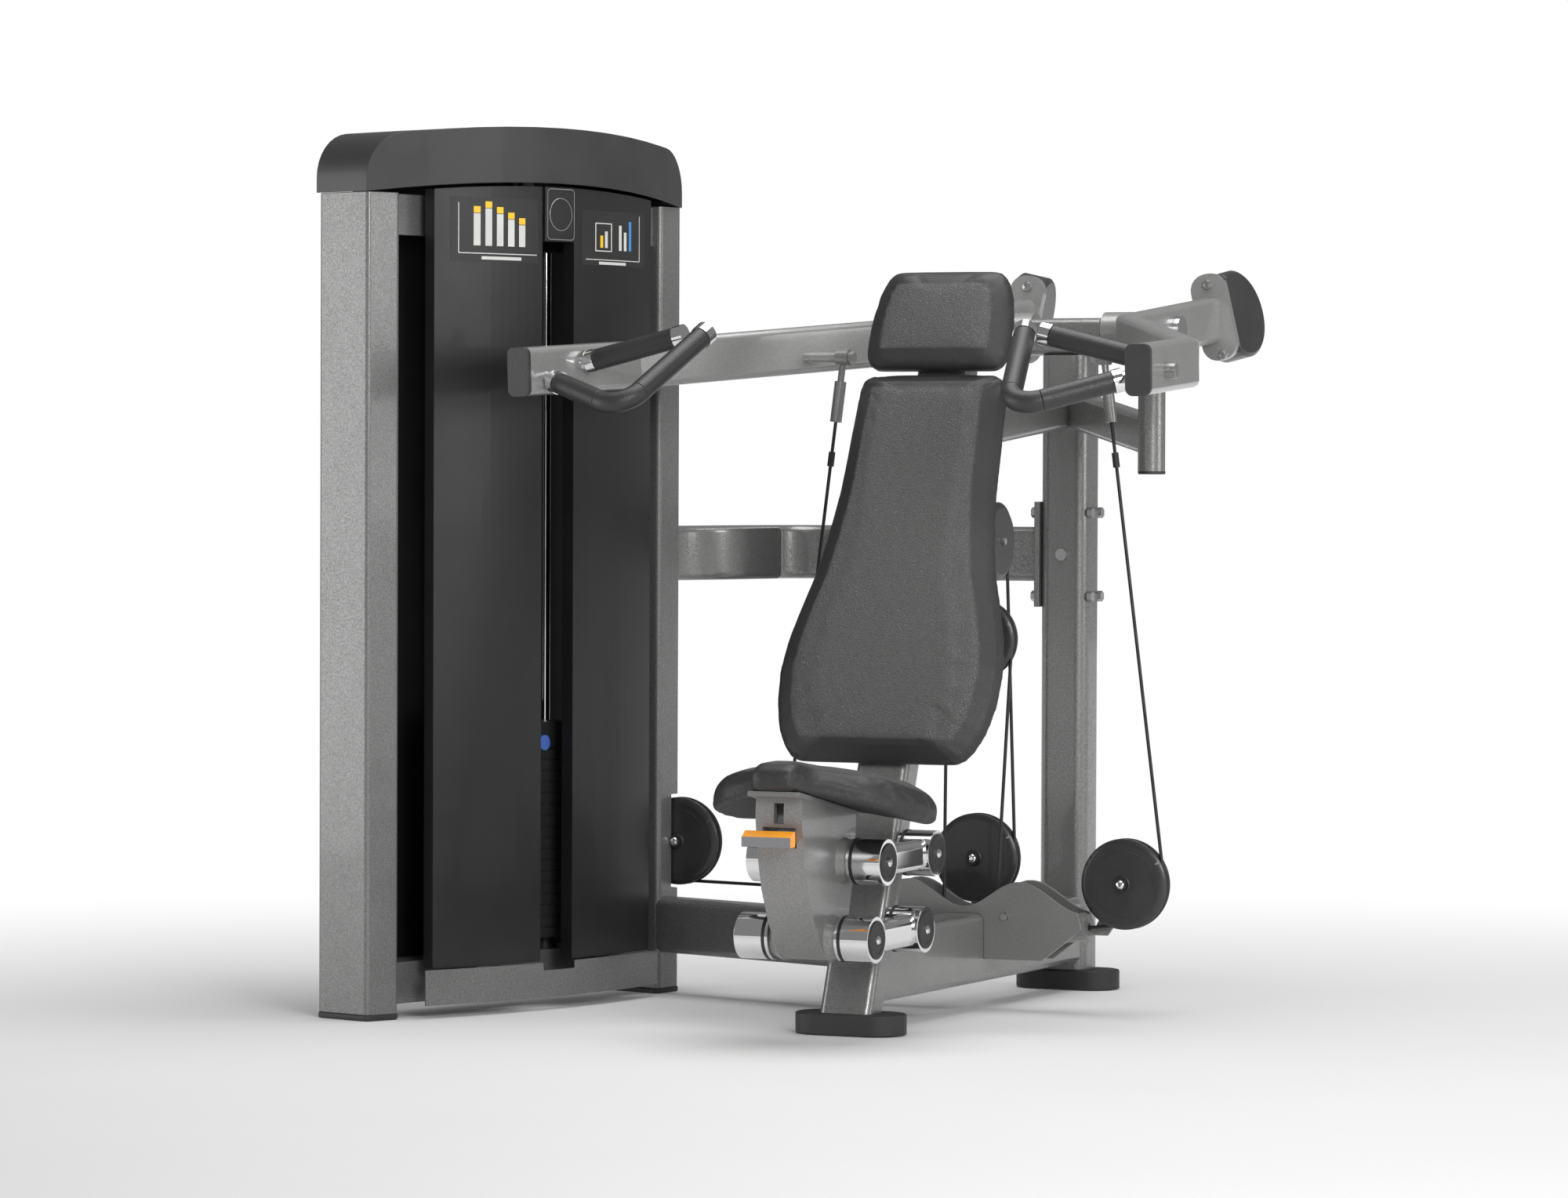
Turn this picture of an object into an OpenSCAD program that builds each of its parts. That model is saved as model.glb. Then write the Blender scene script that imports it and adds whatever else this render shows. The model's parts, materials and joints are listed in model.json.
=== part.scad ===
// Shoulder press machine: a side weight tower, a floor frame with a reclined seat unit,
// and two press arms that turn on one shaft above the rear post.
// +Z is up, the user faces -Y, and the origin lies on the floor under the rear post.

/* [Tower] */
// Tower centre, sideways from the seat's middle plane
tower_x = -722; // [-760:1:-700]
// Tower centre, along the seat's length
tower_y = -783; // [-800:1:-770]
// Turn of the tower towards the user, degrees
tower_turn = 16; // [14:0.5:18]
// Width of the tower over both columns
tower_w = 812; // [790:1:850]
// Height of the columns
column_h = 1432; // [1400:1:1480]
// Width of a column
column_w = 70; // [60:1:80]
// Depth of a column
column_d = 120; // [110:1:140]
// Wall of a column
column_wall = 4; // [3:0.5:6]
// Slant of a column's front face, degrees
column_slant = 10; // [6:1:14]
// Height of the moulded cap at its middle
cap_h = 124; // [115:1:140]
// Corner radius of the cap seen from the front
cap_corner = 80; // [70:1:90]
// Forward bow of the cap's front
cap_bow = 80; // [76:1:90]
// Rise of the cap's lower edge at its middle
cap_arch = 26; // [18:1:30]
// Wall of the cap
cap_wall = 5; // [4:0.5:7]
// Thickness of the front panels
panel_t = 4; // [3:0.5:6]
// Half width of the slot between the front panels
slot_half = 41; // [36:1:50]
// Outer edge of a front panel, from the tower's middle
panel_edge = 281; // [270:1:295]
// Forward reach of the panels at the middle
panel_front = 71; // [66:1:73]
// Backward fall of the panels at their outer edge
panel_fall = 33; // [30:1:36]
// Top edge of the kick plate
kick_top = 84; // [74:1:90]
// Lower edge of the kick plate
kick_low = 22; // [15:1:30]

/* [Weight stack] */
// Number of plates under the head plate
plate_count = 17; // [10:1:17]
// Pitch of the plates
plate_pitch = 20; // [18:0.5:20]
// Width of a plate
plate_w = 250; // [230:1:280]
// Depth of a plate
plate_d = 84; // [76:1:92]
// Height of the head plate
head_h = 46; // [40:1:56]
// Under side of the stack
stack_base = 118; // [110:1:130]
// Spacing of the guide rods from the middle
rod_off = 98; // [90:1:105]
// Diameter of a guide rod
rod_dia = 20; // [16:1:22]
// Diameter of the selector stem
stem_dia = 24; // [20:1:28]
// Diameter of the selector pin
pin_dia = 9; // [8:0.5:11]

/* [Seat frame] */
// Width of the rear post
post_w = 92; // [84:1:100]
// Depth of the rear post
post_d = 80; // [72:1:90]
// Height of the rear post
post_h = 1168; // [1150:1:1180]
// Wall of the frame tubes
tube_wall = 3.5; // [3:0.5:5]
// Corner radius of the frame tubes
tube_r = 14; // [10:1:18]
// Distance from the rear post forward to the front post at the floor
base_len = 990; // [960:1:1020]
// Width of the reclined front post
front_w = 96; // [90:1:100]
// Depth of the reclined front post
front_d = 60; // [54:1:64]
// Recline of the front post, degrees
recline = 20.5; // [19:0.5:22]
// Length of the front post along its slope
front_len = 1318; // [1300:1:1330]
// Thickness of the rubber feet
foot_h = 36; // [30:1:42]
// Length of a rubber foot
foot_len = 196; // [184:1:206]
// Width of a rubber foot
foot_w = 104; // [96:1:120]
// Width of the base tube
base_w = 80; // [70:1:88]
// Height of the base tube
base_h = 122; // [112:1:126]
// Under side of the base tube
base_z = 50; // [44:1:58]
// Height of the two link beams
beam_h = 100; // [90:1:106]
// Width of the two link beams
beam_w = 62; // [54:1:70]
// Mid height of the upper link beam
upper_beam_z = 801; // [780:1:820]
// Mid height of the lower link beam
lower_beam_z = 125; // [120:1:130]

/* [Press arms] */
// Height of the arms' shaft
pivot_z = 1214; // [1205:1:1222]
// Diameter of the arms' shaft
shaft_dia = 32; // [28:1:36]
// Length of the pivot head on the rear post
head_len = 138; // [130:1:150]
// Height of an arm tube
arm_h = 84; // [78:1:88]
// Width of an arm tube
arm_w = 42; // [38:1:48]
// Wall of an arm tube
arm_wall = 3.5; // [3:0.5:5]
// Distance of the arms' rear stretch from the middle plane
arm_x = 187; // [180:1:195]
// Rear end of an arm
arm_rear = 237; // [228:1:246]
// Elbow of an arm, in front of the shaft
arm_elbow = 190; // [170:1:200]
// Sideways place of the arm's front bend
bend_x = 520; // [510:1:530]
// Place of the front bend, in front of the shaft
bend_y = 778; // [765:1:790]
// Sideways place of an arm's tip
tip_x = 566; // [560:1:575]
// Place of an arm's tip, in front of the shaft
tip_y = 1118; // [1105:1:1130]
// Fall of the arm from the shaft to its front bend
bend_drop = 75; // [70:1:80]
// Fall of the arm from the shaft to its tip
tip_drop = 93; // [88:1:98]
// Diameter of a handle tube
bar_dia = 26; // [24:1:28]
// Diameter of a rubber grip
grip_dia = 37; // [34:1:40]
// Diameter of a counterweight
weight_dia = 166; // [156:1:172]
// Thickness of a counterweight
weight_t = 62; // [50:1:70]

/* [Cable drive] */
// Mid plane of the arm cable, in front of the rear post
cable_y = 470; // [455:1:480]
// Diameter of the cable
cable_dia = 6; // [5:0.5:7]
// Outer diameter of a large pulley
pulley_dia = 160; // [154:1:164]
// Thickness of a pulley
pulley_t = 34; // [28:1:36]
// Outer diameter of a small turn pulley
turn_dia = 76; // [70:1:76]
// Sideways place of the swivel pulleys
swivel_x = 296; // [290:1:302]
// Height of the swivel pulleys
swivel_z = 231; // [226:1:236]
// Sideways place of the turn pulleys
turn_x = 80; // [76:1:84]
// Height of the turn pulleys
turn_z = 168; // [166:1:170]
// Diameter of a pulley's axle
axle_dia = 12; // [10:1:14]
// Thickness of a cable plate
side_plate_t = 8; // [6:1:10]

/* [Seat] */
// Length of a seat link between its pivots
link_len = 208; // [200:1:215]
// Half width over the seat links
link_half = 122; // [116:1:128]
// Diameter of a link's barrel
knob_dia = 78; // [70:1:84]
// Diameter of a link's pivot pin
link_pin = 18; // [16:1:20]
// Length of the seat cushion
seat_len = 326; // [318:1:334]
// Half width of the seat cushion
seat_half = 193; // [186:1:200]
// Thickness of the seat cushion
seat_t = 58; // [50:1:62]
// Tilt of the seat cushion, degrees
seat_tilt = 10; // [8:0.5:12]
// Height of the back cushion along its slope
back_len = 717; // [700:1:722]
// Thickness of the back cushion
back_t = 56; // [50:1:60]
// Height of the head cushion along its slope
head_len_pad = 190; // [180:1:194]
// Thickness of the head cushion
head_t = 52; // [48:1:60]

/* [Hidden] */
$fn = 48;
// Clearance of a running bore on its shaft, on the radius
run = 0.05;
// Air gap between neighbouring bodies
air = 0.4;

// Plan directions of the tower
function tower_point(u, back) = [
  tower_x + u * sin(tower_turn) - back * cos(tower_turn),
  tower_y + u * cos(tower_turn) + back * sin(tower_turn)];

// Front post: a point at a distance along its slope and a distance off its middle
front_foot = [0, -base_len, foot_h];
function slope_point(along, off) = front_foot
  + along * [0, sin(recline), cos(recline)]
  + off * [0, -cos(recline), sin(recline)];

// Arm route, right side: rear end, shaft, elbow, front bend and tip
arm_rise = bend_drop / bend_y;
arm_route = [
  [arm_x, arm_rear, pivot_z + arm_rise * arm_rear],
  [arm_x, -arm_elbow, pivot_z - arm_rise * arm_elbow],
  [bend_x, -bend_y, pivot_z - bend_drop],
  [tip_x, -tip_y, pivot_z - tip_drop]];
function along_arm(i, t) = arm_route[i] * (1 - t) + arm_route[i + 1] * t;
hub_r = 33;
hub_start = head_len / 2 + air;
cap_disc_t = 11;
shaft_half = arm_x + arm_w / 2 + air;

// Cable pin on an arm's middle stretch, and the rod end that hangs from it
pin_t = (cable_y - arm_elbow) / (bend_y - arm_elbow);
pin_root = along_arm(1, pin_t);
eye_x = 250;
eye_z = 1156;
eye_r = 15;
cable_pin_dia = 20;
eye_pin_dia = 12;
sleeve_top = 44;
sleeve_end = 116;
pin_nut = 10;

// Pulleys
groove_depth = 8;
groove_big = pulley_dia / 2 - groove_depth;
groove_turn = turn_dia / 2 - groove_depth;
float_x = 16;
float_z = 657;
float_dia = 140;
groove_float = float_dia / 2 - groove_depth;
wheel_z = 829;
wheel_y = -cable_y + groove_float;
mid_x = -37;
mid_y = wheel_y + groove_float;
mid_z = 260;
tower_wheel_u = tower_w / 2 - 2;
tower_wheel_back = -6;
tower_wheel_z = 276;
tower_wheel = concat(tower_point(tower_wheel_u, tower_wheel_back), [tower_wheel_z]);
riser_u = tower_wheel_u - groove_big * sin(tower_turn);
riser_back = tower_wheel_back + groove_big * cos(tower_turn);
cap_pulley_dia = 66;
groove_cap = cap_pulley_dia / 2 - groove_depth;
cap_pulley_z = column_h + 46;
stack_back = 50;
cap_run = norm([riser_u, riser_back - stack_back]);
cap_yaw = atan2(riser_back - stack_back, riser_u);

// Heights in the weight stack and its crossbars
low_bar_top = stack_base - 22;
low_bar_h = 72;
top_bar_h = 70;
top_bar_z = column_h - 2 - top_bar_h;
plates_top = stack_base + plate_count * plate_pitch;
head_top = plates_top + head_h;
pin_z = plates_top + 12;
stem_len = plate_count * plate_pitch - 12;
inner_half = tower_w / 2 - column_w;

// Seat links: pivots on the front post and on the seat carriage
pivot_off = 16;
post_pivot_low = slope_point(146, pivot_off);
post_pivot_high = slope_point(281, pivot_off);
link_vec = [0, -link_len, -3];
seat_pivot_low = post_pivot_low + link_vec;
seat_pivot_high = post_pivot_high + link_vec;
carriage_w = 84;
side_gap = 0.5;
boss_half = 60;
seat_front = [0, -base_len - 340, 430];
seat_plate_y = 110;
nose_plate = 94;
seat_gap = 0.06;
lever_at = seat_pivot_high + [0, -172, 47];
lever_pivot = lever_at + [0, 11, 0];
lever_pin = 8;

function unit(v) = v / norm(v);

// Arc of points that rounds the corner b between a and c
function corner(a, b, c, r, n) =
  let (p = unit(a - b), q = unit(c - b), half = acos(p * q) / 2)
  let (mid = b + unit(p + q) * r / sin(half), s = b + p * r / tan(half) - mid)
  let (e = b + q * r / tan(half) - mid, sa = atan2(s.y, s.x), d = atan2(e.y, e.x) - sa)
  let (turn = d > 180 ? d - 360 : d < -180 ? d + 360 : d)
  [for (i = [0:n]) mid + r * [cos(sa + turn * i / n), sin(sa + turn * i / n)]];
function rounded(p, r, n = 5) = [for (i = [0:len(p) - 1])
  each corner(p[(i + len(p) - 1) % len(p)], p[i], p[(i + 1) % len(p)], r, n)];

function stretch(route, e) = let (m = len(route) - 1) [for (i = [0:m])
  i == 0 ? route[0] + e * unit(route[0] - route[1])
  : i == m ? route[m] + e * unit(route[m] - route[m - 1]) : route[i]];

module section(h, w, r)
  polygon(rounded([[-h / 2, -w / 2], [h / 2, -w / 2], [h / 2, w / 2], [-h / 2, w / 2]], r));

module along(p, q) {
  d = q - p;
  translate(p) rotate([0, acos(d.z / norm(d)), atan2(d.y, d.x)]) children();
}

module bar(p, q, w, h, r) along(p, q) linear_extrude(norm(q - p)) section(h, w, r);

module rod(p, q, d) along(p, q) cylinder(d = d, h = norm(q - p));

module beyond(p, n) along(p, p + n) translate([-300, -300, 0]) cube([600, 600, 300]);

// Tube along a route, mitred at each bend
module chain(route, w, h, r) {
  m = len(route) - 2;
  for (i = [0:m]) {
    a = route[i];
    b = route[i + 1];
    d = unit(b - a);
    difference() {
      bar(i > 0 ? a - w * d : a, i < m ? b + w * d : b, w, h, r);
      if (i < m) beyond(b, d + unit(route[i + 2] - b));
      if (i > 0) beyond(a, unit(route[i - 1] - a) - d);
    }
  }
}

module hollow_chain(route, w, h, r, wall) difference() {
  chain(route, w, h, r);
  chain(stretch(route, 1), w - 2 * wall, h - 2 * wall, max(r - wall, 2));
}

// Round tube with one bend: straight, arc and straight
module bent_tube(route, r, d, bore) {
  a = route[0];
  b = route[1];
  c = route[2];
  p = unit(a - b);
  q = unit(c - b);
  half = acos(p * q) / 2;
  reach = r / tan(half);
  mid = b + unit(p + q) * r / sin(half);
  ex = unit(b + reach * p - mid);
  ez = cross(ex, -p);
  hollow_rod(a, b + reach * p, d, bore);
  hollow_rod(b + reach * q, c, d, bore);
  multmatrix([[ex.x, -p.x, ez.x, mid.x], [ex.y, -p.y, ez.y, mid.y], [ex.z, -p.z, ez.z, mid.z]])
    rotate_extrude(angle = 180 - 2 * half) translate([r, 0]) ring(d, bore);
}

module ring(d, bore) difference() {
  circle(d = d);
  if (bore > 0) circle(d = bore);
}

module hollow_rod(p, q, d, bore) along(p, q) linear_extrude(norm(q - p)) ring(d, bore);

module both_sides() {
  children();
  mirror([1, 0, 0]) children();
}

module in_tower() translate([tower_x, tower_y, 0]) rotate(90 - tower_turn) children();

// Frame of the two cap pulleys: X runs from the stack towards the riser
module in_cap() in_tower() translate([0, stack_back, cap_pulley_z]) rotate(cap_yaw) children();

// Slope frame of the front post: X sideways, Y out of the post's front, Z along -Y
module on_slope(start) translate(slope_point(start, 0)) rotate([90 - recline, 0, 0]) children();

// Sheet that follows the bowed front of the tower, between two depths behind its face
module bow_sheet(x0, x1, front, t0, t1, z0, z1) {
  n = 12;
  xs = [for (i = [0:n]) x0 + (x1 - x0) * i / n];
  translate([0, 0, z0]) linear_extrude(z1 - z0) polygon(concat(
    [for (x = xs) [x, panel_fall * pow(x / panel_edge, 2) - front + t0]],
    [for (i = [n:-1:0]) [xs[i], panel_fall * pow(xs[i] / panel_edge, 2) - front + t1]]));
}

// Column outline in plan, drawn in by an inset
module column_plan(inset) {
  o = tower_w / 2;
  f = column_w * tan(column_slant);
  polygon(rounded([[inner_half + inset, inset - f], [o - inset, inset],
    [o - inset, column_d - inset], [inner_half + inset, column_d - inset]], max(9 - inset, 2)));
}

module column_solid(z0) translate([0, 0, z0]) linear_extrude(column_h - z0) column_plan(0);

module column_tube() difference() {
  column_solid(10);
  translate([0, 0, 9]) linear_extrude(column_h) column_plan(column_wall);
}

module near_column() color("silver") in_tower() mirror([1, 0, 0]) column_tube();

module far_column() color("silver") difference() {
  in_tower() column_tube();
  translate(tower_wheel) cube([pulley_dia + 12, pulley_t + 12, pulley_dia + 12], center = true);
  rod(tower_wheel - [0, 60, 0], tower_wheel + [0, 60, 0], axle_dia + 1);
}

// Cap seen from the front, drawn in by an inset
module cap_front(inset) {
  half = tower_w / 2 + 3 - inset;
  r = cap_corner - inset;
  end_top = column_h + cap_h - 18 - inset;
  low = inset > 0 ? column_h + 8 : column_h;
  arch = inset > 0 ? 0 : cap_arch;
  n = 12;
  polygon(concat(
    [for (i = [0:n]) let (t = 2 * i / n - 1) [half * t, low + arch * (1 - t * t)]],
    [for (i = [0:8]) [half - r, end_top - r] + r * [cos(i * 10.5), sin(i * 10.5)]],
    [for (i = [1:9]) let (t = 1 - 2 * i / 10) [(half - r) * t, end_top + 18 * (1 - t * t)]],
    [for (i = [8:-1:0]) [r - half, end_top - r] + r * [-cos(i * 10.5), sin(i * 10.5)]]));
}

// Cap seen from above, drawn in by an inset
module cap_plan(inset) {
  half = tower_w / 2 + 3 - inset;
  n = 16;
  polygon(concat(
    [for (i = [0:n]) let (t = 2 * i / n - 1) [half * t, inset - cap_bow * (1 - t * t)]],
    [[half, column_d + 3 - inset], [-half, column_d + 3 - inset]]));
}

module cap_body(inset) intersection() {
  translate([0, 300, 0]) rotate([90, 0, 0]) linear_extrude(600) cap_front(inset);
  translate([0, 0, column_h - 10]) linear_extrude(cap_h + 40) cap_plan(inset);
}

module tower_cap() color("dimgray") in_tower() difference() {
  cap_body(0);
  cap_body(cap_wall);
  translate([0, 0, column_h - 5]) linear_extrude(60) intersection() {
    cap_plan(cap_wall);
    translate([-inner_half, -cap_bow]) square([2 * inner_half, cap_bow + column_d - 8]);
  }
  translate([riser_u, riser_back, column_h - 1]) cylinder(r = 13, h = 30);
}

module panel_tab(x, z, from) difference() {
  translate([x - 14, -panel_front - 5, z]) cube([28, panel_front + 5 + from, 24]);
  for (m = [0, 1]) mirror([m, 0, 0])
    bow_sheet(slot_half, panel_edge, panel_front, -30, panel_t + board_gap, z - 1, z + 25);
}

module tower_crossbars() color("gray") in_tower() {
  translate([-inner_half, 6, top_bar_z]) cube([2 * inner_half, 26, top_bar_h]);
  translate([-inner_half, 12, low_bar_top - low_bar_h]) cube([2 * inner_half, 78, low_bar_h]);
  for (x = [-170, 170]) {
    panel_tab(x, top_bar_z + 20, 7);
    panel_tab(x, low_bar_top - 24, 13);
  }
  for (x = [-120, 120]) difference() {
    translate([x - 15, -panel_front - 12, kick_low + 8]) cube([30, panel_front + 25, 22]);
    bow_sheet(-panel_edge - 20, panel_edge + 20, panel_front + 9, -30, panel_t + board_gap,
      kick_low, kick_top);
  }
}

module back_panel() color("black") in_tower()
  translate([-inner_half, column_d - 16, 24]) cube([2 * inner_half, 3, column_h + cap_arch - 12]);

// Lower edge of the cap over a place along the tower, and the air under it
function cap_edge(x) = column_h + cap_arch * (1 - pow(2 * x / (tower_w + 6), 2));
panel_gap = 6;

module front_panel() intersection() {
  union() {
    low = kick_top + 2;
    top = column_h + cap_arch;
    bow_sheet(slot_half, panel_edge, panel_front, 0, panel_t, low, top);
    translate([panel_edge - panel_t, panel_fall - panel_front, low]) cube([panel_t, 22, top - low]);
    bow_sheet(slot_half, slot_half + panel_t, panel_front, 0, 26, low, top);
  }
  rotate([90, 0, 0]) translate([0, 0, -200]) linear_extrude(400) polygon(concat(
    [[panel_edge + 1, 0], [slot_half - 1, 0]],
    [for (i = [0:8]) let (x = slot_half - 1 + (panel_edge - slot_half + 2) * i / 8)
      [x, cap_edge(x) - panel_gap]]));
}

module near_panel() color("dimgray") in_tower() mirror([1, 0, 0]) front_panel();

module far_panel() color("dimgray") in_tower() front_panel();

module badge_plate() color("darkgray") in_tower() {
  bow_sheet(3 - slot_half, slot_half - 3, panel_front, -5, 2, column_h - 76, cap_edge(0) - panel_gap);
  translate([-14, 2 - panel_front, column_h - 50]) cube([28, panel_front + 4, 24]);
}

module kick_plate() color("gray") in_tower() difference() {
  bow_sheet(-panel_edge - 20, panel_edge + 20, panel_front + 9, 0, panel_t, kick_low, kick_top);
  translate([-slot_half, -panel_front - 30, kick_top - 14]) cube([2 * slot_half, 60, 20]);
}

module guide_rods() color("white") in_tower() for (x = [-rod_off, rod_off])
  translate([x, stack_back, low_bar_top]) cylinder(d = rod_dia, h = top_bar_z - low_bar_top);

module rod_mounts() color("gray") in_tower() for (x = [-rod_off, rod_off]) {
  difference() {
    translate([x - 20, 14, top_bar_z - 18]) cube([40, stack_back + 6, 18]);
    translate([x, stack_back, top_bar_z - 19]) cylinder(d = rod_dia, h = 20);
  }
  translate([x, stack_back, low_bar_top]) difference() {
    cylinder(d = rod_dia + 26, h = stack_base - low_bar_top);
    translate([0, 0, -1]) cylinder(d = rod_dia, h = 40);
  }
}

module plate_holes() {
  for (x = [-rod_off, rod_off]) translate([x, 0, -1]) cylinder(d = rod_dia + 1, h = 100);
}

module stack_plates() color("black") in_tower() for (i = [0:plate_count - 1])
  translate([0, stack_back, stack_base + i * plate_pitch]) difference() {
    union() {
      translate([-plate_w / 2, -plate_d / 2, 0]) cube([plate_w, plate_d, plate_pitch - 3]);
      translate([2 - plate_w / 2, 2 - plate_d / 2, 0])
        cube([plate_w - 4, plate_d - 4, plate_pitch + (i < plate_count - 1 ? 1 : -air)]);
    }
    plate_holes();
    translate([0, 0, -1]) cylinder(d = stem_dia + 2, h = 100);
  }

module stack_head() color("black") in_tower() translate([0, stack_back, plates_top]) {
  difference() {
    union() {
      translate([-plate_w / 2, -plate_d / 2, 0]) cube([plate_w, plate_d, head_h]);
      cylinder(d = 40, h = head_h + 34);
      translate([0, 0, -stem_len]) cylinder(d = stem_dia, h = stem_len + 5);
    }
    plate_holes();
    translate([0, 0, pin_z - plates_top]) rotate([90, 0, 0])
      cylinder(r = pin_dia / 2 + run, h = 100);
  }
}

module selector_pin() color("royalblue") in_tower()
  translate([0, stack_back, pin_z]) rotate([90, 0, 0]) {
    translate([0, 0, 2]) cylinder(d = pin_dia, h = plate_d / 2 + 24);
    translate([0, 0, plate_d / 2 + 14]) cylinder(d = 27, h = 36);
  }

beam_end = concat(tower_point(tower_w / 2, column_d / 2), [upper_beam_z]);
beam_bend = [beam_end.x - beam_end.y * tan(tower_turn), 0, upper_beam_z];
bend_turn = 90 - tower_turn;
bend_r = 100;
bend_reach = bend_r * tan(bend_turn / 2);

module beam_section() difference() {
  section(beam_w, beam_h, tube_r);
  section(beam_w - 2 * tube_wall, beam_h - 2 * tube_wall, tube_r - tube_wall);
}

module upper_beam() color("gray") {
  flange_x = -post_w / 2 - 10;
  translate([flange_x, 0, upper_beam_z]) rotate([90, 0, -90])
    linear_extrude(flange_x - beam_bend.x - bend_reach) beam_section();
  translate(beam_bend + [bend_reach, -bend_r, 0]) rotate(90)
    rotate_extrude(angle = bend_turn) translate([bend_r, 0]) beam_section();
  translate(beam_end) rotate(-tower_turn) rotate([90, 0, 180])
    linear_extrude(norm(beam_end - beam_bend) - bend_reach) beam_section();
  translate([flange_x, -post_d / 2 + 2, upper_beam_z - 97]) cube([10, post_d - 4, 194]);
}

// Lower beam: from inside the far column to the middle of the base tube
lower_start = concat(tower_point(tower_w / 2 - column_w / 2, 40), [lower_beam_z]);
lower_end = [0, -cable_y - 180, lower_beam_z];

module lower_beam() color("gray") difference() {
  bar(lower_start, lower_end, beam_w, beam_h, tube_r);
  bar(lower_start, lower_end, beam_w - 2 * tube_wall, beam_h - 2 * tube_wall, tube_r - tube_wall);
  in_tower() column_solid(0);
  translate([-base_w / 2, -900, 0]) cube([600, 700, 400]);
}

module frame_bolts() color("silver") {
  for (y = [-24, 24], z = [-77, 77]) {
    translate([post_w / 2, y, upper_beam_z + z]) rotate([0, 90, 0]) cylinder(d = 20, h = 9, $fn = 6);
    translate([-post_w / 2 - 19, y, upper_beam_z + z]) rotate([0, 90, 0]) cylinder(d = 20, h = 9, $fn = 6);
  }
  translate([0, -post_d / 2, upper_beam_z]) rotate([90, 0, 0]) cylinder(d = 22, h = 6);
}

module rear_post() color("gray") translate([0, 0, foot_h]) linear_extrude(post_h - foot_h) difference() {
  section(post_w, post_d, tube_r + 8);
  section(post_w - 2 * tube_wall, post_d - 2 * tube_wall, tube_r + 8 - tube_wall);
}

module front_post_solid() intersection() {
  bar(slope_point(-60, 0), slope_point(front_len, 0), front_w, front_d, tube_r);
  translate([-200, -1400, foot_h]) cube([400, 1400, 1600]);
}

module front_post() color("silver") difference() {
  front_post_solid();
  bar(slope_point(-80, 0), slope_point(front_len - 6, 0), front_w - 2 * tube_wall,
    front_d - 2 * tube_wall, tube_r - tube_wall);
  for (q = [post_pivot_low, post_pivot_high]) rod(q - [80, 0, 0], q + [80, 0, 0], link_pin);
}

module base_solid() bar([0, -base_len + 20, base_z + base_h / 2], [0, -post_d / 2, base_z + base_h / 2],
  base_w, base_h, tube_r);

module base_tube() color("gray") difference() {
  base_solid();
  bar([0, -base_len, base_z + base_h / 2], [0, 0, base_z + base_h / 2], base_w - 2 * tube_wall,
    base_h - 2 * tube_wall, tube_r - tube_wall);
  front_post_solid();
}

module rubber_feet() color("black") {
  for (y = [0, -base_len]) translate([0, y, 0]) linear_extrude(foot_h) section(foot_len, foot_w, 50);
  in_tower() for (m = [0, 1]) mirror([m, 0, 0]) linear_extrude(10) column_plan(-1.5);
}

module pivot_head() color("gray") difference() {
  translate([-head_len / 2, 0, post_h + 34]) rotate([0, 90, 0])
    linear_extrude(head_len) section(68, 72, tube_r);
  rod([-200, 0, pivot_z], [200, 0, pivot_z], shaft_dia);
}

module pivot_shaft() color("white") {
  rod([-shaft_half, 0, pivot_z], [shaft_half, 0, pivot_z], shaft_dia);
  both_sides() rod([shaft_half, 0, pivot_z], [shaft_half + cap_disc_t, 0, pivot_z], shaft_dia + 18);
}

stop_y = -440;
stop_x = along_arm(1, (-stop_y - arm_elbow) / (bend_y - arm_elbow)).x;
stop_z = pivot_z + arm_rise * stop_y - arm_h / 2 - 3;

stop_root = [0, 0, 1072];
stop_fall = 54;
stop_low = 955;
buffer_t = 16;
brace_end = slope_point(1046, 0);

module stop_arms() color("gray") difference() {
  union() {
    bar(stop_root, [stop_x, stop_y, stop_root.z - stop_fall], 40, 68, 10);
    translate([stop_x, stop_y, stop_low]) cylinder(d = 48, h = stop_z - buffer_t - stop_low);
    bar(stop_root, brace_end, 40, 68, 10);
  }
  translate([-post_w / 2, -post_d / 2, 900]) cube([post_w, post_d + 60, 300]);
  front_post_solid();
}

module stop_buffers() color("black") translate([stop_x, stop_y, stop_z - buffer_t])
  cylinder(d = 46, h = buffer_t);

plate_half = pulley_t / 2 + 7;
plate_top = [for (x = [-226:12:227]) let (a = min(abs(x), 226)) [x,
  a <= 106 ? 207 - 23 * cos(180 * a / 106) : 204 + 26 * cos(180 * (a - 106) / 120)]];

module cable_plates() color("gray") difference() {
  for (y = [-cable_y + plate_half + side_plate_t, -cable_y - plate_half]) translate([0, y, 0])
    rotate([90, 0, 0]) linear_extrude(side_plate_t)
      polygon(concat(plate_top, [[226, 150], [150, 92], [-150, 92], [-226, 150]]));
  base_solid();
  for (x = [-turn_x, turn_x]) rod([x, -600, turn_z], [x, -300, turn_z], axle_dia);
}

// Tangent points of the cable under the swivel and the turn pulley, right side
feed_vec = [swivel_x - turn_x, swivel_z - turn_z];
feed = atan2(feed_vec.y, feed_vec.x) - asin((groove_big - groove_turn) / norm(feed_vec));
function ring_point(x, z, r, a) = [x + r * cos(a), -cable_y, z + r * sin(a)];
// Radius of a cord's corners, so that its straight pieces clear the groove
function lay(r) = r / cos(11.25);
feed_out = ring_point(swivel_x, swivel_z, groove_big, feed - 90);
feed_in = ring_point(turn_x, turn_z, groove_turn, feed - 90);

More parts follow.
